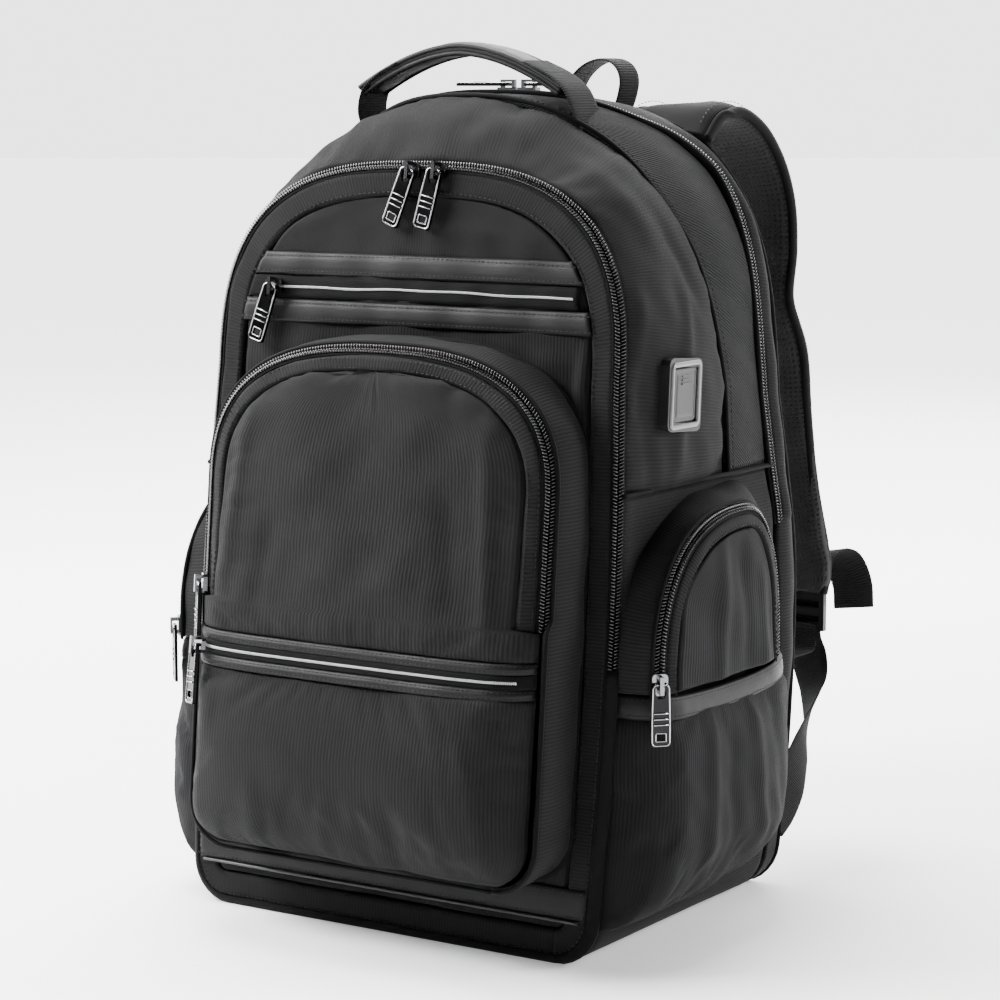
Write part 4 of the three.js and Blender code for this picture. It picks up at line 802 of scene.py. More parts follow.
def back_panel():
    heights = dense(BACK, 2.7, 5)

    def depth(x, z):
        ends = np.clip(np.minimum(z - 10, 460 - z) / 25, 0, 1)
        half = np.maximum(1, BACK.leg(1, z, 2.7))
        bulge = curve(BACK_COLUMNS, x / half)
        quilt = np.zeros_like(z)
        for seam in (110, 205, 300, 390):
            quilt += np.exp(-((z - seam) / 5) ** 2) * np.clip((half - abs(x)) / 30, 0, 1)
        return BACK.depth(z) + 6 * bulge * ends - 2.5 * quilt * bulge
    p = across_grid(BACK, heights, 2.7, 84, depth)
    obj = sheet_piece("back_pad", p, MESH, lambda g: 0.5 * waves(g, 17, 50), thick=6, roll=3,
                      replaces=["back_panel"], slot="back_mesh")


BORDER = 15


def flat_waves(line_z, seed):
    return lambda g: 0.5 * waves(g, seed, line_z)


def front_panel():
    border = strip_between(closed(FRONT.loop(EDGE)), closed(FRONT.loop(EDGE + BORDER)), 9, 0)
    sheet_piece("front_border", border, NYLON, flat_waves(40, 19), ends=False, slot="nylon")
    row = FRONT.loop(EDGE + BORDER - 2.6, -0.5)
    stitches("front_border_stitches", above(row, 60), np.tile([0, -1, 0], (len(above(row, 60)), 1)))
    inset = EDGE + BORDER + 0.4
    heights = dense(FRONT, inset, 4)
    p = across_grid(FRONT, heights, inset, 90, lambda x, z: front_plane(z) + 0.6)
    p = settled(p, 0.8, 0.01, 2.2, 23)
    push = 0.9 * waves(p, 29, 70) + 0.3 * waves(p, 30, 26)
    push += folds(p, [
        ((119, -80, 190), (112, -75, 352), 4.5, 2.4),
        ((107, -75, 300), (116, -72, 372), 4, -1.5),
        ((124, -85, 150), (121, -80, 260), 4, -1.2),
        ((-98, -68, 398), (-20, -66, 424), 6, 1.4),
        ((10, -66, 404), (92, -68, 398), 6, 1.2),
        ((40, -68, 345), (106, -72, 330), 5, 1.0),
    ])
    sheet_piece("front_cloth", p, NYLON, push, replaces=["front_panel"], slot="nylon")


def bevel(outline, part):
    """The middle line and the outward line of a zip or binding on an outline's front edge."""
    line = part(outline.loop(2.4, 2.4))
    return line, outwards(line, -1.0)


def front_zip():
    line, out = bevel(FRONT, lambda l: above(l, FRONT_ZIP_END))
    coil_zip("front_zip", line, out, tape=8.4, width=6.2, replaces=["front_zipper"])
    a = below(FRONT.loop(EDGE + 0.6, 0.1), FRONT_ZIP_END)
    b = below(FRONT.loop(-0.4, EDGE + 0.4), FRONT_ZIP_END)
    _, normal = bevel(FRONT, lambda l: below(l, FRONT_ZIP_END))
    t = np.linspace(-1, 1, 9)[:, None, None]
    p = (a + b)[None] / 2 + (b - a)[None] / 2 * t + normal[None] * 1.9 * np.sqrt(1 - t * t)
    sheet_piece("corner_binding_tape", p, BINDING, thick=1, roll=0,
                replaces=["corner_binding"], slot="binding")
    row = below(FRONT.loop(EDGE + 1.8, -0.7), FRONT_ZIP_END)
    stitches("corner_binding_stitches", row, np.tile([0, -1, 0], (len(row), 1)))


def rear_zip():
    line = above(REAR_ZIP.loop(-0.2, 0.3), REAR_ZIP_END)
    coil_zip("rear_zip", line, outwards(line), tape=8.6, width=6.2, replaces=["rear_zipper"])


def before_front(stand):
    """y over a sheet that stands this far before the front."""
    return lambda x, z: front_plane(z) - stand


def band_on(outline, low, high, inset, rows, columns, y_at, right=None):
    heights = np.linspace(low, high, rows)
    p = across_grid(outline, heights, inset, columns, y_at)
    if right is not None:
        left = p[:, :1, 0]
        t = np.linspace(0, 1, columns)[None]
        p[..., 0] = left + (right - left) * t
        p[..., 1] = y_at(p[..., 0], p[..., 2])
    return p


def leather_strip(name, p, seed, replaces, wave=0.4, edge=2.4, pitch=3.0):
    """A leatherette strip with two rows of stitches, slightly wavy from sewing."""
    n = vertex_normals(p.reshape(-1, 3), turned_out(p.reshape(-1, 3), grid_faces(*p.shape[:2])))
    n = n.reshape(p.shape)
    v = lengths(p, 0)
    high = v[-1:]
    crown = 0.5 * np.sin(math.pi * v / high)
    push = wave * waves(p * np.array([1, 0.3, 0.3]), seed, 34) + crown
    for row in (edge, float(high.mean()) - edge):
        push = push - 0.35 * np.exp(-((v - row) / 0.9) ** 2)
    obj = sheet_piece(name, p, LEATHER, push, thick=1.4, roll=0.9, replaces=replaces, slot="leatherette")
    moved = p + n * push[..., None]
    for word, row in (("low", edge), ("high", float(high.mean()) - edge)):
        share = row / v[-1]
        index = share * (p.shape[0] - 1)
        i = np.clip(index.astype(int), 0, p.shape[0] - 2)
        f = (index - i)[:, None]
        c = np.arange(p.shape[1])
        line = moved[i, c] * (1 - f) + moved[i + 1, c] * f
        stitches(name + "_stitches_" + word, line, n[i, c], pitch=pitch, length=1.8)
    return obj


def organizer():
    inset = EDGE + BORDER - 1
    for name, low, high, seed in (("upper", 374.5, 388, 31), ("lower", 347, 360.5, 37)):
        p = band_on(FRONT, low, high, inset, 12, 150, before_front(1.1))
        leather_strip("organizer_leather_" + name, p, seed, ["organizer_strip_" + name])
    p = band_on(FRONT, 361.2, 373.8, inset, 7, 120, before_front(0.7), right=110)
    sheet_piece("organizer_tape", p, TAPE, lambda g: 0.3 * waves(g, 41, 30), thick=1, roll=0.6,
                replaces=["organizer_zipper"], slot="coil")
    x = np.linspace(-104, 107, 200)
    z = 367.5 + 0.6 * waves(np.stack([x, x * 0, x * 0], -1), 43, 60)
    line = np.stack([x, front_plane(z) - 1.3, z], -1)
    silver_coil("organizer_coil", line, np.tile([0, -1.0, 0], (200, 1)))


def silver_coil(name, line, out, pitch=1.1, width=1.5, high=0.8):
    """A bright narrow coil: a row of loops lying across the line."""
    middle, out = resample(line, pitch, out)
    out /= np.linalg.norm(out, axis=1, keepdims=True)
    a = frames_along(middle)
    side = np.cross(a, out)
    slant = side + a * 0.35
    slant /= np.linalg.norm(slant, axis=1, keepdims=True)
    section = [(-pitch * 0.4, -high * 0.4), (-pitch * 0.36, high * 0.3), (0, high * 0.55),
               (pitch * 0.36, high * 0.3), (pitch * 0.4, -high * 0.4)]
    points, polygons = bars(middle, slant, np.cross(out, slant), out, width / 2, section)
    obj = make_object(name, points, polygons, SILVER)
    return obj


def base_trim():
    p = band_on(FRONT, 26, 44, 6.4, 12, 120, before_front(0.9))
    leather_strip("base_trim_leather", p, 47, ["base_trim"], wave=0.3)
    heights = np.full(90, 25.4)
    x = np.linspace(-131, 131, 90)
    cord_round("base_trim_piping", np.stack([x, front_plane(heights) - 1.4, heights], -1), 0.9,
               PIPING, up=(0, 0, 1))


# Front pocket

POCKET_SWELL = [(0, 0), (.015, .32), (.06, .72), (.14, .95), (.22, 1), (.33, .88), (.43, .68),
                (.6, .42), (.85, .2), (1, 0)]
POCKET_COLUMNS = [(-1, 0), (-.92, .5), (-.78, .82), (-.5, .97), (0, 1), (.5, .97), (.78, .82),
                  (.92, .5), (1, 0)]
POCKET_BORDER = 10


def pocket_inset(z):
    return np.where(z > POCKET_ZIP_END, EDGE, 2.7)


def pocket_face(x, z, stand=0.0):
    across = POCKET.across(x, z, pocket_inset(z))
    rise = curve(POCKET_SWELL, (z - POCKET_FLOOR - 2.4) / 293)
    return pocket_plane(z) - POCKET_BULGE * rise * curve(POCKET_COLUMNS, across) - stand


def on_pocket(line, stand=0.0):
    """A line of the pocket's outline, laid on its swollen face."""
    out = line.copy()
    out[:, 1] = pocket_face(line[:, 0], line[:, 2], stand)
    return out


def pocket_normals(line):
    e = 0.5
    y = pocket_face(line[:, 0], line[:, 2])
    dx = (pocket_face(line[:, 0] + e, line[:, 2]) - y) / e
    dz = (pocket_face(line[:, 0], line[:, 2] + e) - y) / e
    n = np.stack([dx, -np.ones(len(y)), dz], -1)
    return n / np.linalg.norm(n, axis=1, keepdims=True)


def pocket_cloth(name, low, high, seed, creases, grow, extra=()):
    heights = dense(POCKET, 3, 3)
    heights = np.unique(np.concatenate([[low], heights[(heights > low) & (heights < high)], [high]]))
    inset = np.array([float(pocket_inset(z)) for z in heights])
    inset = inset + POCKET_BORDER * (heights > POCKET_ZIP_END)
    left = np.array([POCKET.leg(-1, z, i) for z, i in zip(heights, inset)])
    right = np.array([POCKET.leg(1, z, i) for z, i in zip(heights, inset)])
    t = np.linspace(0, 1, 100)
    x = left[:, None] + (right - left)[:, None] * t
    z = np.repeat(heights[:, None], 100, 1)
    p = np.stack([x, pocket_face(x, z), z], -1)
    p = settled(p, 0.9, grow, 3.0, seed)
    push = 0.8 * waves(p, seed + 1, 70) + 0.3 * waves(p, seed + 2, 28)
    for crease in creases:
        push = push + fold(p, *crease)
    sheet_piece(name, p, POCKET_NYLON, push, slot="nylon", replaces=extra)


def pocket():
    a = POCKET.loop(-1.4, 0)
    a[:, 1] = front_plane(a[:, 2]) - 0.6
    b = POCKET.loop(0, lambda z: np.where(z > POCKET_ZIP_END, EDGE, 0.3))
    a, b = closed(a), closed(b)
    p = strip_between(a, b, 22, 0)
    along = outwards(b)
    t = np.linspace(0, 1, 22)[:, None]
    rise = np.clip((p[..., 2] - 52) / 20, 0.25, 1)
    p = p + along[None] * (3 * np.sin(math.pi * t) * rise)[..., None]
    push = 0.8 * waves(p, 51, 34)
    sheet_piece("pocket_side_cloth", p, POCKET_NYLON, push, thick=1.8, ends=False,
                replaces=["pocket_gusset"],
                slot="nylon", centre=np.array([5.0, -100, 190]))
    cord_round("pocket_base_piping", a + np.array([0, -1.0, 0]), 1.6, BINDING)
    cord_round("pocket_edge_piping", b + along * 0.9, 1.3, BINDING)

    line, out = bevel(POCKET, lambda l: above(l, POCKET_ZIP_END))
    coil_zip("pocket_zip", line, out, tape=8.4, width=6.0, replaces=["pocket_zipper"])

    outer = above(POCKET.loop(EDGE + 0.2), POCKET_ZIP_END)
    inner = above(POCKET.loop(EDGE + POCKET_BORDER), POCKET_ZIP_END)
    border = strip_between(outer, inner, 7, 0)
    border[..., 1] = pocket_face(border[..., 0], border[..., 2], 0.2)
    sheet_piece("pocket_border", border, POCKET_NYLON, lambda g: 0.4 * waves(g, 53, 40), slot="nylon")
    for k, gap in enumerate((2.4, POCKET_BORDER - 2.2)):
        row = on_pocket(above(POCKET.loop(EDGE + gap), POCKET_ZIP_END + 4), 0.1)
        stitches(f"pocket_border_stitches_{k}", row, pocket_normals(row))

    f = lambda x, z: (x, float(pocket_face(np.array(x), np.array(z))), z)
    pocket_cloth("pocket_upper_cloth", STRIP_HIGH + 0.4, POCKET_CROWN - EDGE - POCKET_BORDER, 57, [
        (f(92, 186), f(84, 290), 6, 2.2), (f(70, 200), f(60, 262), 8, -1.6),
        (f(-92, 190), f(-80, 300), 6, 1.8), (f(-64, 190), f(-56, 240), 7, -1.3),
        (f(-40, 320), f(50, 318), 8, 1.4), (f(-20, 240), f(40, 210), 14, 1.2)], 0.014)
    pocket_cloth("pocket_lower_cloth", POCKET_FLOOR + 3, STRIP_LOW - 0.4, 61, [
        (f(101, 60), f(86, 128), 5, 2.2), (f(84, 56), f(70, 96), 5, -1.8),
        (f(-98, 62), f(-88, 140), 6, 1.8), (f(-60, 54), f(-52, 92), 6, 1.4),
        (f(-10, 53), f(-6, 84), 6, 1.3), (f(40, 52), f(46, 88), 6, -1.4),
        (f(60, 60), f(100, 72), 5, 1.5)], 0.014, ["pocket_face"])

    upper = strip_grid(168.0, STRIP_HIGH + 1.2, 1.0)
    leather_strip("pocket_leather_upper", upper, 63, ["pocket_strip"], wave=0.3, edge=1.6)
    lower = strip_grid(STRIP_LOW - 1.2, 160.2, 1.0)
    leather_strip("pocket_leather_lower", lower, 67, [], wave=0.3, edge=1.6)
    tape = strip_grid(160.0, 168.2, 0.5)
    sheet_piece("pocket_lower_tape", tape, TAPE, thick=1, roll=0.4,
                replaces=["pocket_lower_zipper"], slot="coil")
    x = np.linspace(-104, 112, 200)
    row = np.stack([x, x * 0, np.full(200, 164.0)], -1)
    silver_coil("pocket_lower_coil", on_pocket(row, 1.0), pocket_normals(row))


def strip_grid(low, high, stand):
    heights = np.linspace(low, high, 9)
    p = across_grid(POCKET, heights, 2.9, 130, lambda x, z: pocket_face(x, z, stand))
    return p


# Side pockets

SIDE_ZIP = Outline(SIDE_FRONT, SIDE_REAR, SIDE_CREST, 10, SIDE_ARCH, SIDE_CROWN, 2.4, 2, 0,
                   lambda z: np.asarray(z) * 0, [(HEM_HIGH, 4)])
SIDE_FOOT = Outline(-83.2, SLIP_REAR - 2, 44, 10, SIDE_ARCH, SIDE_CROWN + 7, 2.4, 2, 0,
                    lambda z: np.asarray(z) * 0, [(HEM_HIGH, 4)])
SIDE_COLUMNS = [(-1, 0), (-.8, .7), (-.3, 1), (.3, 1), (.8, .6), (1, 0)]
SLIP_ROWS = [(0, .12, .34), (.07, .52, .24), (.17, .82, .1), (.34, .98, .01), (.55, 1, 0),
             (.78, .93, 0), (1, .84, 0)]
SLIP_COLUMNS = [(0, 0), (.015, .5), (.05, .86), (.13, .98), (.5, 1), (.68, .96), (.8, .8),
                (.92, .4), (1, 0)]


def turn_side(p, sign):
    """From the side pocket's own frame (along, -reach, up) to the bag's."""
    return np.stack([-sign * p[..., 1], p[..., 0], p[..., 2]], -1)


def side_reach(along, z):
    half = np.maximum(1, (SIDE_ZIP.leg(1, z, EDGE) - SIDE_ZIP.leg(-1, z, EDGE)) / 2)
    middle = (SIDE_ZIP.leg(1, z, EDGE) + SIDE_ZIP.leg(-1, z, EDGE)) / 2
    across = np.clip((along - middle) / half, -1, 1)
    rise = np.clip((SIDE_CROWN - EDGE - z) / 89, 0, 1)
    return HALF_WIDTH + SIDE_PROUD + SIDE_BULGE * curve(SIDE_COLUMNS, across) * np.sqrt(rise)


def slip_point(along, z, stand=0.0):
    """A point of the slip pocket: along runs 0 to 1 from the front edge to the rear one."""
    up = (z - SLIP_LOW) / (HEM_HIGH - SLIP_LOW)
    out = curve([(r[0], r[1]) for r in SLIP_ROWS], up)
    trim = curve([(r[0], r[2]) for r in SLIP_ROWS], up)
    front = front_plane(z) + 7.1
    length = (SLIP_REAR - front) * (1 - trim)
    # the table's columns bunch near the ends, where the pocket turns in
    reach = 137.6 + (SLIP_OUT * out + stand) * curve(SLIP_COLUMNS, along)
    return np.stack([front + length * along, -reach, z], -1)


def bunched(count):
    """Shares from 0 to 1 that crowd together at the start, where cloth turns a corner."""
    return np.linspace(0, 1, count) ** 1.7


def side_pocket(sign):
    word = "right" if sign > 0 else "left"
    seed = 70 if sign > 0 else 90
    centre = np.array([sign * 120.0, 0, 160])
    cut = lambda line: above(line, HEM_HIGH)
    foot = cut(SIDE_FOOT.loop(0, -HALF_WIDTH + 2.4))
    edge = cut(SIDE_ZIP.loop(0, -(HALF_WIDTH + SIDE_PROUD) + EDGE))
    p = strip_between(foot, edge, 20, 2)
    p = turn_side(p, sign)
    sheet_piece("side_wall_" + word, p, POCKET_NYLON, lambda g: 0.7 * waves(g, seed, 40),
                replaces=["side_gusset_" + word], slot="nylon", centre=centre)
    welt = cut(SIDE_ZIP.loop(-0.8, -(HALF_WIDTH + SIDE_PROUD) + EDGE))
    cord_round("side_piping_" + word, turn_side(welt, sign), 1.3, BINDING, up=(1, 0, 0))

    line, out = bevel(SIDE_ZIP, cut)
    line[:, 1] -= HALF_WIDTH + SIDE_PROUD
    coil_zip("side_zip_" + word, turn_side(line, sign), turn_side(out, sign), tape=8.4, width=6.0,
             replaces=["side_zipper_" + word])

    ring = strip_between(cut(SIDE_ZIP.loop(EDGE + 0.2)), cut(SIDE_ZIP.loop(EDGE + 9)), 6, 0)
    ring[..., 1] = -side_reach(ring[..., 0], ring[..., 2]) - 0.4
    sheet_piece("side_border_" + word, turn_side(ring, sign), NYLON,
                lambda g: 0.3 * waves(g, seed + 1, 40), slot="nylon", centre=centre)
    row = cut(SIDE_ZIP.loop(EDGE + 7))
    row[:, 1] = -side_reach(row[:, 0], row[:, 2]) - 0.6
    stitches("side_border_stitches_" + word, turn_side(row, sign), np.tile([sign, 0, 0], (len(row), 1)))

    inset = EDGE + 9.3
    heights = dense(SIDE_ZIP, inset, 3)
    heights = np.concatenate([[HEM_HIGH + 0.3], heights[heights > HEM_HIGH + 1]])
    face = across_grid(SIDE_ZIP, heights, inset, 56, lambda x, z: -side_reach(x, z))
    face = turn_side(face, sign)
    face = settled(face, 0.9, 0.014, 2.5, seed + 2)
    push = 0.8 * waves(face, seed + 3, 50)
    push += folds(face, [
        ((sign * 175, -22, 150), (sign * 170, -14, 232), 7, 2.2),
        ((sign * 175, 12, 156), (sign * 170, 6, 226), 7, -1.8),
        ((sign * 175, 34, 150), (sign * 170, 30, 210), 6, 1.5),
    ])
    sheet_piece("side_face_cloth_" + word, face, NYLON, push, replaces=["side_face_" + word],
                slot="nylon", centre=centre)

    along = bunched(96)
    z = np.linspace(SLIP_LOW, HEM_LOW + 2, 46)
    g = slip_point(np.repeat(along[None], 46, 0), np.repeat(z[:, None], 96, 1))
    g = turn_side(g, sign)
    g = settled(g, 0.8, 0.012, 2.5, seed + 4)
    push = 0.9 * waves(g, seed + 5, 60) + 0.3 * waves(g, seed + 6, 26)
    push += folds(g, [
        ((sign * 178, -40, 40), (sign * 178, -34, 136), 7, 2.4),
        ((sign * 178, -10, 30), (sign * 178, -14, 120), 8, -2.0),
        ((sign * 178, 24, 46), (sign * 178, 14, 138), 7, 2.0),
        ((sign * 176, 56, 60), (sign * 176, 40, 132), 7, -1.4),
    ])
    sheet_piece("side_slip_cloth_" + word, g, NYLON, push, replaces=["side_slip_" + word],
                slot="nylon", centre=centre)
    z = np.linspace(HEM_LOW, HEM_HIGH - 0.4, 10)
    h = slip_point(np.repeat(along[None], 10, 0), np.repeat(z[:, None], 96, 1), 1.1)
    h[..., 2] -= 3.0 * np.sin(math.pi * np.clip(along * 1.2, 0, 1))[None]
    leather_strip("side_hem_leather_" + word, turn_side(h, sign), seed + 7, ["side_hem_" + word],
                  wave=0.3)


# Swept pieces

def sweep_grid(route, section, widths=None, steps=90):
    """Sections carried along a smoothed route. route rows hold place and side, section rows
    hold across and up in millimetres; the result is closed round its columns."""
    places = np.array([r[0] for r in route], float)
    sides = np.array([r[1] for r in route], float)
    shares = np.array(widths if widths is not None else [1.0] * len(route), float)
    at = np.concatenate([[0], np.cumsum(np.linalg.norm(np.diff(places, axis=0), axis=1))])
    s = np.linspace(0, at[-1], steps)
    c = np.stack([curve_soft(at, places[:, k], s) for k in range(3)], -1)
    side = np.stack([np.interp(s, at, sides[:, k]) for k in range(3)], -1)
    share = np.interp(s, at, shares)
    a = frames_along(c)
    side -= a * (side * a).sum(1, keepdims=True)
    side /= np.linalg.norm(side, axis=1, keepdims=True)
    up = np.cross(side, a)
    section = np.array(section, float)
    grid = (c[:, None] + section[None, :, :1] * side[:, None] * share[:, None, None]
            + section[None, :, 1:] * up[:, None])
    return grid, c, side, up


def curve_soft(at, values, s):
    """A smooth line through values that doesn't overshoot much (Catmull-Rom)."""
    slope = np.gradient(values, at)
    i = np.clip(np.searchsorted(at, s) - 1, 0, len(at) - 2)
    h = at[i + 1] - at[i]
    t = (s - at[i]) / h
    return ((2 * t**3 - 3 * t**2 + 1) * values[i] + (t**3 - 2 * t**2 + t) * h * slope[i]
            + (3 * t**2 - 2 * t**3) * values[i + 1] + (t**3 - t**2) * h * slope[i + 1])


def flat_section(wide, thick, count=13, power=6.0):
    """A thin band's section with rounded edges, once round."""
    turn = np.linspace(0, 2 * math.pi, 2 * count, endpoint=False)
    c, s = np.cos(turn), np.sin(turn)
    x = np.sign(c) * np.abs(c) ** (2 / power) * wide / 2
    y = np.sign(s) * np.abs(s) ** (2 / 2.4) * thick / 2
    return np.stack([x, y], -1)


def swept(name, route, wide, thick, material, widths=None, steps=90, power=6.0, push=None,
          replaces=(), slot=None, count=13, sign=1, lining=None):
    """A solid band along a route, as webbing or a padded strap, with its lining underneath."""
    section = flat_section(wide, thick, count, power)
    grid, c, side, up = sweep_grid(route, section, widths, steps)
    cloth = np.zeros(grid.shape)
    cloth[..., 0] = section[None, :, 0]
    run = np.concatenate([[0], np.cumsum(np.linalg.norm(np.diff(c, axis=0), axis=1))])
    cloth[..., 1] = run[:, None]
    if push is not None:
        out = grid - c[:, None]
        out = up[:, None] * np.sign((out * up[:, None]).sum(-1, keepdims=True))
        grid = grid + out * push(grid)[..., None]
    grid[..., 0] *= sign
    k = grid.shape[1]
    polygons = grid_faces(len(grid), k, True).tolist()
    polygons += [list(range(k))[::-1], [(len(grid) - 1) * k + j for j in range(k)]]
    obj = make_object(name, grid.reshape(-1, 3), polygons, material, cloth.reshape(-1, 3), weld=0.0005)
    if lining:
        obj.data.materials.append(lining)
        for face in obj.data.polygons:
            middle = np.array(face.center) / MM * np.array([sign, 1, 1])
            near = int(np.argmin(np.linalg.norm(c - middle, axis=1)))
            face.material_index = int((middle - c[near]) @ up[near] < -0.5)
    if replaces:
        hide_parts(*replaces)
    return obj, c, side, up


HANDLE_SHIFT, HANDLE_HALF, HANDLE_Y = -12, 70, 5


def grip_middle(share):
    return 505 - 24 * np.abs(share) ** 1.8


def handle():
    shares = np.linspace(-1, 1, 29)
    route = [((HANDLE_SHIFT + HANDLE_HALF * s, HANDLE_Y, float(grip_middle(s))), (0, 1, 0))
             for s in shares]
    _, c, side, up = swept("handle_grip_leather", route, 24, 7.6, LEATHER, power=3.2, steps=110,
                           push=lambda g: 0.25 * waves(g, 101, 30), replaces=["handle_grip"],
                           slot="leatherette")
    for word, s in (("front", -1), ("rear", 1)):
        cord_round("handle_piping_" + word, c + side * s * 10.6 + up * 2.6, 1.7, LEATHER, up=(0, 1, 0))
        cord_round("handle_edge_" + word, c + side * s * 11.6 - up * 1.6, 1.5, LEATHER, up=(0, 1, 0))
        stitches("handle_stitches_" + word, c[3:-3] + side[3:-3] * s * 7.6 + up[3:-3] * 3.55, up[3:-3],
                 LIGHT_THREAD, pitch=3.2)
    legs = {"left": [(-68, 5, 445), (-82, 5, 469), (-79, 5, 481), (-70, 5, 489), (-55, 5, 496.5)],
            "right": [(74, 5, 445), (68, 5, 469), (61, 5, 482), (50, 5, 490), (34, 5, 497)]}
    for word, row in legs.items():
        swept("handle_webbing_" + word, [(p, (0, 1, 0)) for p in row], 29, 2.4, WEBBING, steps=50,
              replaces=["handle_web_" + word], slot="webbing")


def hang_loop():
    turn = np.linspace(math.pi, 0, 15)
    row = [(-15.2, 453)] + [(19 * math.cos(t), 480.1 + 19 * math.sin(t)) for t in turn]
    row.append((15.2, 453))
    lean = [(x + 14 + 0.3 * (z - 453), 98, z) for x, z in row]
    swept("hang_loop_webbing", [(p, (0, 1, 0)) for p in lean], 23, 1.8, WEBBING, steps=70,
          replaces=["hang_loop"], slot="webbing")


STRAP_ROUTE = [(66, 96, 452, 1), (67, 112, 465, 1), (69, 130, 467, 1), (73, 150, 458, 1),
               (76, 167, 440, 1), (79, 178, 413, 1), (79.5, 181, 385, 1), (77.5, 181, 352, 1),
               (82.5, 192, 318, 1), (82.5, 200, 283, .98), (86, 206, 248, .96),
               (92, 209, 215, .9), (98, 211, 190, .82), (103, 211, 177, .74),
               (105, 210.5, 170, .64), (105, 210, 165, .5)]
CORNER_TAPE = [((126, 243, 151), (.9, .4, .2)), ((123, 246, 167), (.9, .4, .1)),
               ((117, 243, 181), (.9, .3, 0)), ((111, 234, 188), (1, 0, 0)),
               ((107, 226, 183), (1, 0, 0)), ((105.5, 222, 173), (1, 0, 0)),
               ((105, 218, 164), (1, 0, 0)), ((105, 214.5, 155), (1, 0, 0)),
               ((105, 213.5, 145.4), (1, 0, 0)), ((105, 213.5, 135.4), (1, 0, 0)),
               ((109, 213.5, 123.4), (1, 0, .1)), ((117, 205, 108), (.9, -.3, .3)),
               ((119.5, 198, 99), (.72, -.5, .42)), ((122, 190, 90), (.5, -.65, .5)),
               ((124.5, 180, 81), (.27, -.7, .6)), ((127, 170, 72), (0, -.7, .7)),
               ((131, 148, 55), (-.4, -.5, .7)), ((133, 128, 44), (-.6, -.3, .7)),
               ((134, 112, 38), (-.7, 0, .7))]
BACK_TAPE = [((105, 206.5, 145.4), (1, 0, 0)), ((105, 206.5, 135.4), (1, 0, 0)),
             ((106, 202.5, 129.4), (1, 0, 0)), ((107, 190, 126), (.95, .1, .25)),
             ((108, 178, 123), (.8, .15, .55)), ((110, 165, 120), (.55, .1, .8)),
             ((112, 152, 118), (.3, .05, .95)), ((113, 138, 116), (.1, 0, 1)),
             ((113, 122, 114), (0, 0, 1))]


def strap(sign):
    word = "right" if sign > 0 else "left"
    seed = 120 if sign > 0 else 140
    route = [(r[:3], (1, 0, 0)) for r in STRAP_ROUTE]
    widths = [r[3] for r in STRAP_ROUTE]

    def puff(grid):
        return 1.0 * waves(grid, seed, 70) + 0.5 * waves(grid, seed + 1, 30)
    obj, c, side, up = swept("shoulder_strap_pad_" + word, route, 62, 13, STRAP_CLOTH, widths, 170, 5,
                             puff, ["shoulder_strap_" + word], "strap_cloth", 20, sign, MESH)
    share = np.interp(np.linspace(0, 1, len(c)), np.linspace(0, 1, len(widths)), widths)
    flip = np.array([sign, 1, 1])
    for k, s in (("inner", -1), ("outer", 1)):
        line = (c + side * (s * 31.4 * share)[:, None]) * flip
        cord_round(f"strap_edge_{word}_{k}", line, 2.6, BINDING, up=(0, 1, 0.2), squash=1.6)
        row = (c + side * (s * 25.5 * share)[:, None] + up * 6.7) * flip
        stitches(f"strap_stitches_{word}_{k}", row[4:-4], up[4:-4] * flip, LIGHT_THREAD, pitch=3.6)
    tape = [(tuple(c[i] + up[i] * 7.6), (1, 0, 0)) for i in range(100, len(c), 6)]
    swept("strap_webbing_" + word, tape, 26, 1.6, WEBBING, steps=80, sign=sign, slot="webbing")
    for name, rows, node_name in (("corner", CORNER_TAPE, "corner_tape_"),
                                  ("back", BACK_TAPE, "back_tape_")):
        swept(f"{name}_webbing_{word}", rows, 25.4, 1.8, WEBBING, steps=80, sign=sign,
              push=lambda g: 0.15 * waves(g, seed + 3, 25), replaces=[node_name + word], slot="webbing")


# Charging port, hard pieces

PORT_Y, PORT_Z, PORT_LEAN = -25, 313, 4


def port_loop(half_wide, half_high, corner, reach):
    """A rounded rectangle on the right side, at a distance from the middle of the bag."""
    steps = np.radians(np.linspace(0, 90, 7))
    points = []
    for turn, (sy, sz) in enumerate([(1, 1), (-1, 1), (-1, -1), (1, -1)]):
        a = steps + turn * math.pi / 2
        points.append(np.stack([sy * (half_wide - corner) + corner * np.cos(a),
                                sz * (half_high - corner) + corner * np.sin(a)], -1))
    points = np.concatenate(points)
    lean = math.sin(math.radians(PORT_LEAN))
    return np.stack([np.full(len(points), reach), PORT_Y + points[:, 0] + lean * points[:, 1],
                     PORT_Z + points[:, 1]], -1)


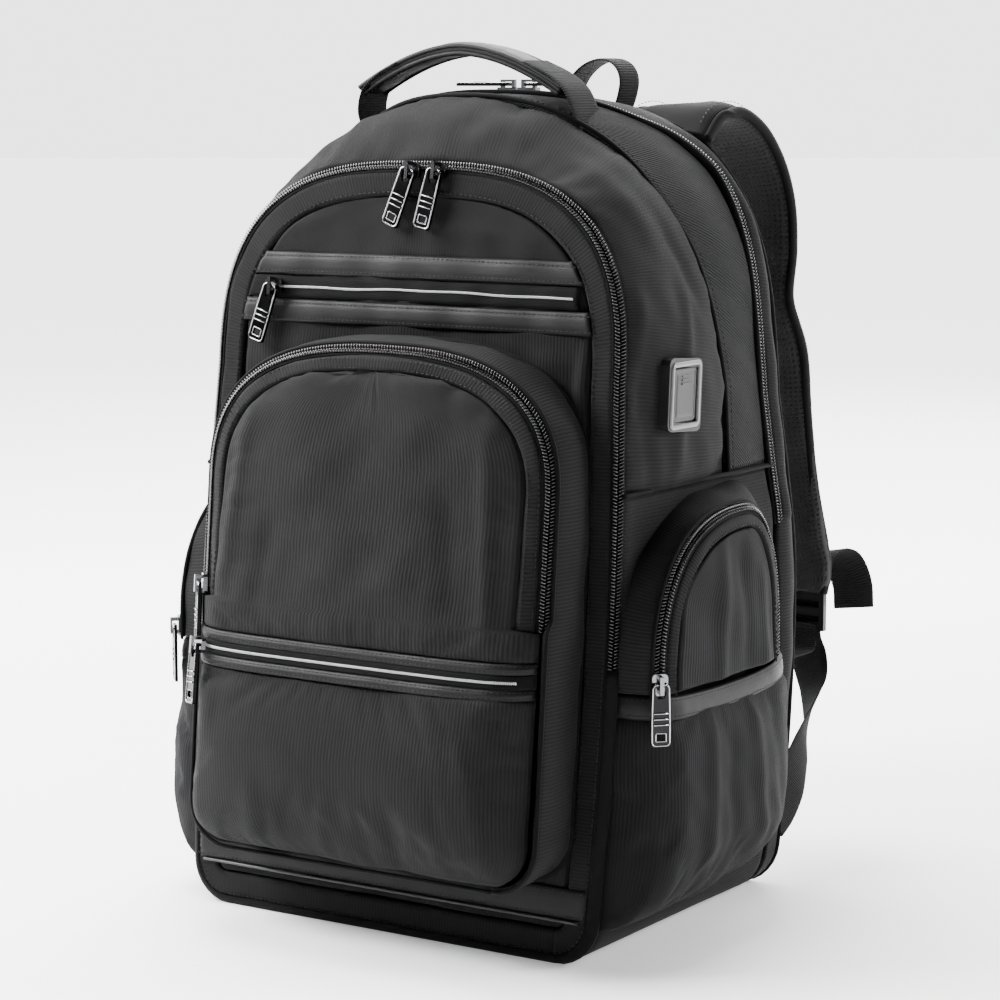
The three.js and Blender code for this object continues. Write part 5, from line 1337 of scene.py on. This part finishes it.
def port():
    """The silver rim and the cover of the charging port, over their plain solids."""
    rows = [(0, 151.4), (0.1, 152.4), (0.7, 152.9), (2.2, 152.9), (2.9, 152.3), (3.0, 151.4), (0, 151.4)]
    ring = np.stack([port_loop(16.4 - i, 18.8 - i, max(3.6 - i, 0.8), x) for i, x in rows])
    obj = make_object("port_rim", ring.reshape(-1, 3), grid_faces(*ring.shape[:2], True).tolist(), RIM,
                      weld=0.001)
    rows = [(0, 149.9), (0, 151.3), (0.5, 151.7), (2.0, 151.9), (2.5, 151.5), (3.0, 151.9), (5, 151.9)]
    plate = np.stack([port_loop(12.6 - i, 15.0 - i, max(2.4 - i, 0.8), x) for i, x in rows])
    polygons = grid_faces(*plate.shape[:2], True).tolist()
    count = plate.shape[1]
    polygons.append([(len(rows) - 1) * count + j for j in range(count)])
    obj = make_object("port_lid", plate.reshape(-1, 3), polygons, COVER, weld=0.001)
    points, polygons = [], []
    for z in (319.5, 321.6, 323.7):
        y = PORT_Y + math.sin(math.radians(PORT_LEAN)) * (z - PORT_Z)
        p, faces = box_points((152.0, y, z), (0.9, 9, 1.0))
        polygons += [[i + 8 * len(points) for i in face] for face in faces]
        points.append(p)
    obj = make_object("port_lid_ribs", np.concatenate(points), polygons, COVER, smooth=False)


def box_points(centre, size):
    corners = np.array([(x, y, z) for x in (-.5, .5) for y in (-.5, .5) for z in (-.5, .5)])
    faces = [(0, 1, 3, 2), (4, 6, 7, 5), (0, 4, 5, 1), (2, 3, 7, 6), (0, 2, 6, 4), (1, 5, 7, 3)]
    return corners * np.array(size) + np.array(centre), [list(f) for f in faces]


PULL_LONG = 35
PULL_RIM = [(.5, 3.2), (1.9, 4.5), (10.5, 4.8), (21.7, 5.0), (32.6, 5.0), (33.8, 4.2), (34.2, 3.2)]


def pull_rims():
    """A polished rim, three ridges and an edge round the slot on every zip pull, in a metal far lighter
    than the pull's own dark metal: painted highlight along its edges and ridges.
    """
    for name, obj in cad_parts.items():
        if not name.startswith("pull_"):
            continue
        matrix = np.array(obj.matrix_world)
        p = np.array([v.co for v in obj.data.vertices]) @ matrix[:3, :3].T + matrix[:3, 3]
        face = max(obj.data.polygons, key=lambda polygon: polygon.area)
        out = matrix[:3, :3] @ np.array(face.normal)
        out /= np.linalg.norm(out)
        p /= MM
        if (p.mean(0) - CENTRE) @ out < 0:
            out = -out
        spread = p - p.mean(0)
        spread -= np.outer(spread @ out, out)
        down = np.linalg.eigh(spread.T @ spread)[1][:, -1]
        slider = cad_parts[name.replace("pull_", "slider_")]
        top = np.array([slider.matrix_world @ v.co for v in slider.data.vertices]).mean(0) / MM
        if (p.mean(0) - top) @ down < 0:
            down = -down
        side = np.cross(out, down)
        along, across = p @ down, p @ side
        start = along.max() - PULL_LONG
        middle = (across.min() + across.max()) / 2
        level = pull_face(p, out)

        def at(d, w, h=0.0):
            return down * (start + d) + side * (middle + w) + out * (level + h)

        rim = [at(d, w) for d, w in PULL_RIM] + [at(d, -w) for d, w in PULL_RIM[::-1]]
        rim.append(rim[0])
        cord_round(name + "_rim", resample(rim, 0.8)[0], 0.42, BRIGHT, sides=6, body=name, up=out)
        slot = [at(d, w) for d, w in ((27.3, -2.9), (27.3, 2.9), (31.8, 2.9), (31.8, -2.9), (27.3, -2.9))]
        cord_round(name + "_slot", resample(slot, 0.6)[0], 0.3, BRIGHT, sides=6, body=name, up=out)
        for k, share in enumerate((0.44, 0.53, 0.62)):
            bar = [at(PULL_LONG * share + 0.9, w, 0.5) for w in (-4.2, 0, 4.2)]
            cord_round(name + "_ridge_%d" % k, bar, 0.4, BRIGHT, sides=6, body=name, up=out)


def pull_face(p, out):
    """How far out the flat face of a pull lies: the level that most of its outer points share."""
    high = np.round(p @ out, 2)
    levels, counts = np.unique(high, return_counts=True)
    common = levels[counts >= counts.max() * 0.5]
    return float(common.max())


def hard_pieces():
    finishes = {"slider_": SLIDER, "pull_": PULL, "port_frame": PLASTIC, "port_cover": COVER,
                "ladder_lock_": PLASTIC}
    for name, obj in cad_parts.items():
        for start, material in finishes.items():
            if name.startswith(start):
                for place in obj.material_slots:
                    place.material = material


# Floor and light

BEHIND = (-0.54, 0.84, 0)   # from the camera through the bag, along the floor
# Distance or share of the way behind the bag, and the glow at its two ends
SWEEP_GLOW = ((0.15, 1.3), (0.25, 2.7))
BACKDROP_GLOW = ((0.1, 0.75), (0.06, 3.2))
FLOOR_HALF = 40             # metres
# Each lamp's name, place in metres, power in watts and width in metres; all aim at the bag's middle
LAMPS = [("key", (-0.62, -0.5, 0.8), 30, 0.4), ("left", (-1.6, -0.3, 0.9), 30, 0.8),
         ("top", (-0.5, 0.3, 2.2), 150, 1.2), ("rim", (1.9, 1.3, 1.1), 80, 0.8),
         ("back", (-0.6, 2.4, 1.6), 60, 1.6)]
LAMP_AIM = Vector((0, 0, 0.24))


def stage():
    mesh = bpy.data.meshes.new("floor")
    corners = [(x * FLOOR_HALF, y * FLOOR_HALF, 0) for x, y in ((-1, -1), (1, -1), (1, 1), (-1, 1))]
    mesh.from_pydata(corners, [], [(0, 1, 2, 3)])
    floor = bpy.data.objects.new("floor", mesh)
    bpy.context.scene.collection.objects.link(floor)
    material, tree, shader = nodes_of("floor")
    shade = node(tree, "ShaderNodeTexNoise", Scale=2.0)
    colour = mixed(tree, (0.93, 0.93, 0.93), (0.96, 0.96, 0.96), (shade, "Fac"))
    link(tree, colour, 2, shader, "Base Color")
    shader.inputs["Roughness"].default_value = 0.9
    # painted light: the floor itself glows, rising with distance behind the bag as a white paper sweep
    # would, so the floor brightens with distance
    spot = node(tree, "ShaderNodeTexCoord")
    away = node(tree, "ShaderNodeVectorMath", operation="DOT_PRODUCT")
    away.inputs[1].default_value = BEHIND
    link(tree, spot, "Object", away, 0)
    lit = ranged(tree, away, "Value", *SWEEP_GLOW, interpolation_type="SMOOTHSTEP")
    shader.inputs["Emission Color"].default_value = (1, 1, 1, 1)
    # the floor's own glow, painted light, drives its emission
    link(tree, lit, 0, shader, "Emission Strength")
    mesh.materials.append(material)

    world = bpy.context.scene.world or bpy.data.worlds.new("world")
    bpy.context.scene.world = world
    world.use_nodes = True
    # a bright backdrop behind the bag, and a dim studio on the camera's side
    sky = world.node_tree
    place = node(sky, "ShaderNodeTexCoord")
    behind = node(sky, "ShaderNodeVectorMath", operation="DOT_PRODUCT")
    behind.inputs[1].default_value = BEHIND
    link(sky, place, "Generated", behind, 0)
    glow = ranged(sky, behind, "Value", *BACKDROP_GLOW, interpolation_type="SMOOTHSTEP")
    sky.nodes["Background"].inputs["Color"].default_value = (1, 1, 1, 1)
    link(sky, glow, 0, sky.nodes["Background"], "Strength")
    for name, place, power, size in LAMPS:
        data = bpy.data.lights.new(name, "AREA")
        data.energy = power
        data.size = size
        lamp = bpy.data.objects.new(name, data)
        lamp.location = place
        lamp.rotation_euler = (LAMP_AIM - Vector(place)).to_track_quat("-Z", "Y").to_euler()
        bpy.context.scene.collection.objects.link(lamp)


upper_gusset()
twill_band()
lower_gusset()
cross_seams()
rear_gusset()
back_panel()
front_panel()
front_zip()
rear_zip()
organizer()
base_trim()
pocket()
side_pocket(1)
side_pocket(-1)
handle()
hang_loop()
strap(1)
strap(-1)
port()
pull_rims()
hard_pieces()
stage()
